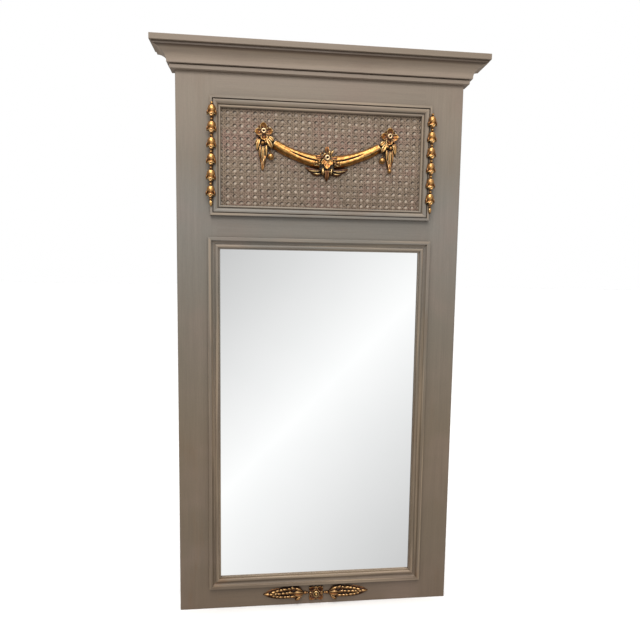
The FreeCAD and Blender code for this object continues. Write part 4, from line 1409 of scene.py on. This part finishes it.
@dataclass
class BottomOrnament(SubAssembly):
    """Rosette between two sprays of pointed grains, on the bottom rail."""

    start: float = 17.5
    body: float = 84.0
    half_width: float = 14.0
    rows: int = 3
    grains: int = 6

    def build(self) -> None:
        """Carve the rosette and both sprays."""
        f = self.finishes
        low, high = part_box("bottom_left_spray")
        seat = Vector((0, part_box("bottom_rosette")[1].y, (low.z + high.z) / 2)) / MM
        # painted shade: the rosette and sprays take the darker low shade gold, and the grains' ground the shaded gold
        rosette = Carving((self.rosette(), f.low_shade_gold), (self.boss(), f.warm_gold))
        self.stand_for(rosette.seat("gilded_rosette", seat + Vector((0, 0, 1.2))), "gilding", "bottom_rosette")
        for name, raised in (("left", 3.0), ("right", 1.5)):
            spray = Carving((self.spray(), f.low_shade_gold), (self.shade_bed(), f.shaded_gold))
            piece = spray.seat(f"gilded_{name}_spray", seat + Vector((0, 0, raised)), name == "left")
            self.stand_for(piece, "gilding", f"bottom_{name}_spray")

    def rosette(self) -> list[Form]:
        """Squarish flower with a lumpy dish.

        Returns:
            The flower's shapes.
        """
        return [
            *(Petal(20.2, 15.0, 6.0, 45 + 90 * k, hollow=0.9) for k in range(4)),
            *(Leaf(16.8, 8.4, 5.0, turn=90 * k, widest=0.66, vein=0.55) for k in range(4)),
            Turned(((0, 2.6), (5.6, 2.6), (6.8, 4.0), (9.0, 3.6), (9.6, 2.4), (9.6, 0), (0, 0)), steps=28),
            *(Petal(11.4, 6.4, 5.0, 18 + 60 * k, 1.6 + 0.5 * math.sin(2.3 * k), 0.6) for k in range(6)),
        ]

    def boss(self) -> list[Form]:
        """Ring and ball at the rosette's heart.

        Returns:
            Both shapes.
        """
        ring = ((0, 4.2), (3.4, 4.2), (4.4, 6.8), (5.6, 7.4), (6.6, 6.2), (6.8, 3.6), (6.8, 0), (0, 0))
        return [Turned(ring), Bead(3.5, (0, 0), 2.0)]

    def shade_bed(self) -> list[Form]:
        """Dark ground that the spray's grains lie on, in the shaded gold: painted shade between the grains."""
        return [Leaf(self.body - 4, 2 * self.half_width - 1, 2.4, (self.start + 11, 0), point=0.4)]

    def spray(self) -> list[Form]:
        """Right spray: beads on its stem, a tulip cup with flicked tips, and rows of pointed grains.

        Returns:
            The spray's shapes.
        """
        start, first, room = self.start, self.start + 20, self.body - 33
        forms: list[Form] = [
            Bead(2.6, (start + 1.4, 0), 0.5),
            Bead(3.4, (start + 5.8, 0), 0.5),
            Leaf(14, 4.6, 3.2, (start - 1, 0), widest=0.4),
            Leaf(25, 17, 8.4, (start + 7, 0), widest=0.58, vein=0.5, point=0.85, lift=1.2),
            *(Leaf(22, 7.6, 7.0, (start + 9, side * 2.6), side * 33, widest=0.6, vein=0.35, lift=1.6, curl=2.0)
              for side in (1, -1)),
            Leaf(16, 7.4, 5.0, (start + self.body - 5, 0), widest=0.35, vein=0.3, lift=0.6),
        ]
        for row in range(self.rows):
            side = row - (self.rows - 1) / 2
            for k in range(self.grains):
                along = (k + (0.0 if side else 0.5)) / self.grains
                spread = (1 - 0.62 * along**3 - 0.12 * (1 - along) ** 2) * (self.half_width - 5.4)
                sway = 1.5 * math.sin(2.4 * k + 1.3 * row)
                forms.append(Leaf(19.0 - 5.0 * along + sway, 7.8 - 1.6 * along, 6.2 + 0.4 * sway,
                                  (first + along * room, side * spread - 2.0 + 2.6 * along),
                                  24 - 20 * along + side * (8 - 18 * along), widest=0.6, vein=0.3, point=0.85,
                                  lift=0.4, curl=3.4, along=8))
        return forms


@dataclass
class WallFittings(SubAssembly):
    """Strap hangers, their rings and screws, and the bumpers."""

    wire: float = 1.22
    inside: float = 20.0
    rise: float = 16.0
    corner: float = 3.0
    head_radius: float = 3.5
    head_height: float = 2.0

    def build(self) -> None:
        """Dress the straps, and make the rings, screws and bumpers round."""
        self.dress(self.finishes.steel, "left_hanger_strap", "right_hanger_strap")
        for joint in frame["joints"]:
            side = "left" if joint["name"].startswith("left") else "right"
            self.stand_for(self.ring(side, joint), "fittings_steel", f"{side}_hanger_ring", body=f"{side}_ring")
        self.stand_for(self.screws(), "fittings_steel", "hanger_screws")
        for name in ("left_bottom", "left_top", "right_bottom", "right_top"):
            self.stand_for(self.bumper(name), "bumper_rubber", f"{name}_bumper")

    def ring(self, side: str, joint: dict) -> Piece:
        """Bend a round wire into a D: a bar, two small corners and a bow.

        Args:
            side: Which ring it is.
            joint: The record's hinge that the ring turns on.

        Returns:
            The ring, its bar on the hinge and its bow leaning towards the board as its node does.
        """
        mesh = bmesh.new()
        half, r = self.inside / 2 + self.wire, self.corner
        high = self.rise + 2 * self.wire
        bmesh.ops.create_circle(mesh, cap_ends=False, segments=16, radius=self.wire,
                                matrix=Matrix.Rotation(math.radians(90), 4, "Y"))
        front = self.pull(mesh, mesh.edges[:], Vector((half - r, 0, 0)))
        front = self.bend(mesh, front, Vector((half - r, 0, r)), 90, 6)
        front = self.pull(mesh, front, Vector((0, 0, high - half - r)))
        front = self.bend(mesh, front, Vector((0, 0, high - half)), 180, 28)
        front = self.pull(mesh, front, Vector((0, 0, half + r - high)))
        front = self.bend(mesh, front, Vector((r - half, 0, r)), 90, 6)
        self.pull(mesh, front, Vector((half - r, 0, 0)))
        bmesh.ops.remove_doubles(mesh, verts=mesh.verts, dist=1e-3)
        eye = Vector(joint["pos_m"]) / MM
        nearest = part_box(f"{side}_hanger_ring")[0].y / MM
        lean = math.asin(max(-1.0, min(1.0, (eye.y - nearest - self.wire) / high)))
        place = Matrix.Translation(eye) @ Matrix.Rotation(lean, 4, "X")
        bmesh.ops.transform(mesh, matrix=Matrix.Scale(MM, 4) @ place, verts=mesh.verts)
        return finish_mesh(mesh, f"{side}_round_ring", self.finishes.steel)

    def pull(self, mesh: Mesh, edges: list, move: Vector) -> list:
        """Draw the wire out in a straight line.

        Args:
            mesh: The wire.
            edges: The circle at its end.
            move: How far and which way.

        Returns:
            The circle at the new end.
        """
        drawn = bmesh.ops.extrude_edge_only(mesh, edges=edges)["geom"]
        verts = [item for item in drawn if isinstance(item, bmesh.types.BMVert)]
        bmesh.ops.translate(mesh, verts=verts, vec=move)
        return [item for item in drawn if isinstance(item, bmesh.types.BMEdge)]

    def bend(self, mesh: Mesh, edges: list, centre: Vector, degrees: float, steps: int) -> list:
        """Bend the wire on.

        Args:
            mesh: The wire.
            edges: The circle at its end.
            centre: What it bends round.
            degrees: How far it turns.
            steps: How many steps the bend takes.

        Returns:
            The circle at the new end.
        """
        made = bmesh.ops.spin(mesh, geom=edges, cent=centre, axis=(0, -1, 0), angle=math.radians(degrees),
                              steps=steps)
        return [item for item in made["geom_last"] if isinstance(item, bmesh.types.BMEdge)]

    def turn(self, mesh: Mesh, profile: tuple[Pair, ...], steps: int, at: Triple) -> None:
        """Turn a round fitting that points to the wall.

        Args:
            mesh: The mesh to add it to.
            profile: (radius, height) of each corner, in millimetres.
            steps: How many steps the full turn takes.
            at: The middle of its seat, in metres.
        """
        verts = spin_profile(mesh, profile, steps)
        place = Matrix.Translation(at) @ Matrix.Rotation(math.radians(-90), 4, "X") @ Matrix.Scale(MM, 4)
        bmesh.ops.transform(mesh, matrix=place, verts=verts)

    def screws(self) -> Piece:
        """Turn four pan-head screws with a recess.

        Returns:
            The screws as one piece.
        """
        mesh = bmesh.new()
        low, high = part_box("hanger_screws")
        head = self.head_radius * MM
        profile = ((0, -14.0), (1.0, -12.0), (1.75, -9.5), (1.75, 0), (self.head_radius, 0), (3.45, 0.7), (3.1, 1.4),
                   (2.3, 1.85), (1.5, self.head_height), (1.1, 1.0), (0, 0.7))
        for side in ("left", "right"):
            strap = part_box(f"{side}_hanger_strap")
            for z in (low.z + head, high.z - head):
                at = ((strap[0].x + strap[1].x) / 2, high.y - self.head_height * MM, z)
                self.turn(mesh, profile, 20, at)
        return finish_mesh(mesh, "round_screws", self.finishes.steel)

    def bumper(self, name: str) -> Piece:
        """Turn one bumper with a rounded rim.

        Args:
            name: The corner it is at.

        Returns:
            The bumper.
        """
        low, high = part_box(f"{name}_bumper")
        radius, thick = (high.x - low.x) / 2 / MM, (high.y - low.y) / MM
        mesh = bmesh.new()
        self.turn(mesh, ((0, 0), (radius, 0), (radius, thick - 1.2), (radius - 0.4, thick - 0.4),
                         (radius - 1.2, thick), (0, thick)), 32, ((low.x + high.x) / 2, low.y, (low.z + high.z) / 2))
        return finish_mesh(mesh, f"{name}_round_bumper", self.finishes.rubber, smooth=False)


# -------------------------------------------------------------------- studio
@dataclass
class Studio:
    """Pale floor, soft light and the camera."""

    eye: Triple = (-0.1051, -1.030, 0.6998)
    yaw: float = 0.104
    pitch: float = -0.090
    roll: float = 0.015
    lens: float = 28.125
    band_normal: Triple = (-0.6985, -0.2389, 0.6746)
    band_fall: float = 1.25
    sky: float = 1.06
    ahead: Triple = (0.092, -0.970, -0.225)
    ahead_span: Pair = (0.80, 0.915)
    dome: Pair = (0.10, 0.50)
    soft: Pair = (0.72, 0.36)
    lamplight: Triple = (1.0, 0.97, 0.93)
    wash: float = 2.4
    wash_spread: float = 50.0
    wash_tilt: float = 8.0
    floor_tones: tuple[Colour, Colour] = ((250, 249, 248), (252, 251, 250))
    floor_size: float = 30.0

    def build(self) -> None:
        """Set up the whole studio."""
        self.camera()
        self.floor()
        self.world()
        self.lamp("key_light", (-0.95, -1.9, 2.5), 1.3, 20.0, (0, 0, 0.9))
        self.lamp("window_light", (0.05, -1.75, 2.05), 0.8, 11.0, (0, 0, 0.9))
        self.lamp("fill_light", (1.7, -2.0, 1.3), 1.5, 2.4, (0, 0, 0.5))
        self.sun()
        scene = bpy.context.scene
        scene.view_settings.view_transform = "Standard"
        scene.cycles.max_bounces = 6

    def hang(self, name: str, data: bpy.types.ID, place: Matrix) -> Piece:
        """Put a camera or a light in the scene.

        Args:
            name: Its name.
            data: The camera or the light.
            place: Where it is and which way it looks.

        Returns:
            The new object.
        """
        item = bpy.data.objects.new(name, data)
        item.matrix_world = place
        bpy.context.scene.collection.objects.link(item)
        return item

    def camera(self) -> None:
        """Place the camera where the photographer stood."""
        data = bpy.data.cameras.new("camera")
        data.lens = self.lens
        data.sensor_width = 36.0
        level = math.cos(self.pitch)
        forward = Vector((math.sin(self.yaw) * level, math.cos(self.yaw) * level, math.sin(self.pitch)))
        right = Vector((math.cos(self.yaw), -math.sin(self.yaw), 0))
        up = right.cross(forward)
        across = math.cos(self.roll) * right + math.sin(self.roll) * up
        over = math.cos(self.roll) * up - math.sin(self.roll) * right
        turn = Matrix((across, over, -forward)).transposed().to_4x4()
        bpy.context.scene.camera = self.hang("camera", data, Matrix.Translation(self.eye) @ turn)

    def floor(self) -> None:
        """Lay a plain pale floor under the frame's foot."""
        mesh = bmesh.new()
        bmesh.ops.create_grid(mesh, x_segments=1, y_segments=1, size=self.floor_size)
        s = Shader("pale_floor")
        colour = s.blend(s.noise(900, detail=1.0), *(srgb(tone) for tone in self.floor_tones))
        floor = finish_mesh(mesh, "floor", s.finish(colour, 0.8), smooth=False)
        floor.visible_glossy = False
        floor.visible_diffuse = False

    def world(self) -> None:
        """Surround the mirror with a soft band of light, white behind it."""
        world = bpy.data.worlds.new("studio")
        bpy.context.scene.world = world
        world.use_nodes = True
        sky = Nodes(world.node_tree)
        light = world.node_tree.nodes["Background"]
        light.inputs["Color"].default_value = (1.0, 1.0, 1.0, 1.0)
        place = sky.add("ShaderNodeTexCoord").outputs["Generated"]
        height = sky.part(place, "Z")
        off = sky.maths("ABSOLUTE", self.along(sky, place, self.band_normal))
        band = sky.between(off, 0.0, 0.5, self.sky, self.sky * (1 - 0.5 * self.band_fall), "LINEAR")
        dome = sky.between(height, -0.4, 0.6, *self.dome)
        ahead = sky.between(self.along(sky, place, self.ahead), *self.ahead_span)
        rays = sky.add("ShaderNodeLightPath").outputs
        around = self.mix(sky, ahead, dome, band)
        around = self.mix(sky, rays["Is Diffuse Ray"], around, sky.between(height, -0.5, 0.5, *self.soft))
        sky.wire(self.mix(sky, rays["Is Camera Ray"], around, 1.0), light.inputs["Strength"])

    def along(self, sky: Nodes, place: Socket, way: Triple) -> Socket:
        """How far a direction of the sky points along another one.

        Args:
            sky: The world's nodes.
            place: The direction's socket.
            way: The other direction.

        Returns:
            The share's socket.
        """
        dot = sky.add("ShaderNodeVectorMath", operation="DOT_PRODUCT")
        sky.wire(place, dot.inputs[0])
        sky.wire(way, dot.inputs[1])
        return dot.outputs["Value"]

    def mix(self, sky: Nodes, share: Socket, a: Socket, b: Socket | float) -> Socket:
        """Mix two values of the sky.

        Args:
            sky: The world's nodes.
            share: How much of the second value shows.
            a: First value.
            b: Second value.

        Returns:
            The mixed value's socket.
        """
        node = sky.add("ShaderNodeMix")
        for value, target in zip((share, a, b), (node.inputs[0], node.inputs[2], node.inputs[3])):
            sky.wire(value, target)
        return node.outputs[0]

    def sun(self) -> None:
        """Wash the floor with soft light from straight above."""
        data = bpy.data.lights.new("overhead_wash", "SUN")
        data.energy = self.wash
        data.angle = math.radians(self.wash_spread)
        self.hang("overhead_wash", data, Matrix.Rotation(math.radians(self.wash_tilt), 4, "X"))

    def lamp(self, name: str, at: Triple, size: float, watts: float, aim: Triple) -> None:
        """Hang a soft square light.

        Args:
            name: The light's name.
            at: Where it hangs, in metres.
            size: Its side.
            watts: Its power.
            aim: The point that it faces.
        """
        data = bpy.data.lights.new(name, "AREA")
        data.size = size
        data.energy = watts
        data.color = self.lamplight
        turn = (Vector(aim) - Vector(at)).to_track_quat("-Z", "Y").to_matrix().to_4x4()
        self.hang(name, data, Matrix.Translation(at) @ turn)


def main() -> None:
    """Build the studio and every sub-assembly in order."""
    logging.basicConfig(level=logging.INFO, format="%(name)s: %(message)s")
    Studio().build()
    finishes = Finishes()
    for assembly in (Casework, Glazing, WovenCane, Swag, HuskChain, BottomOrnament, WallFittings):
        assembly(finishes).build()
        LOG.info("finished %s", assembly.__name__)
    bpy.context.view_layer.update()


if __name__ == "__main__":
    main()
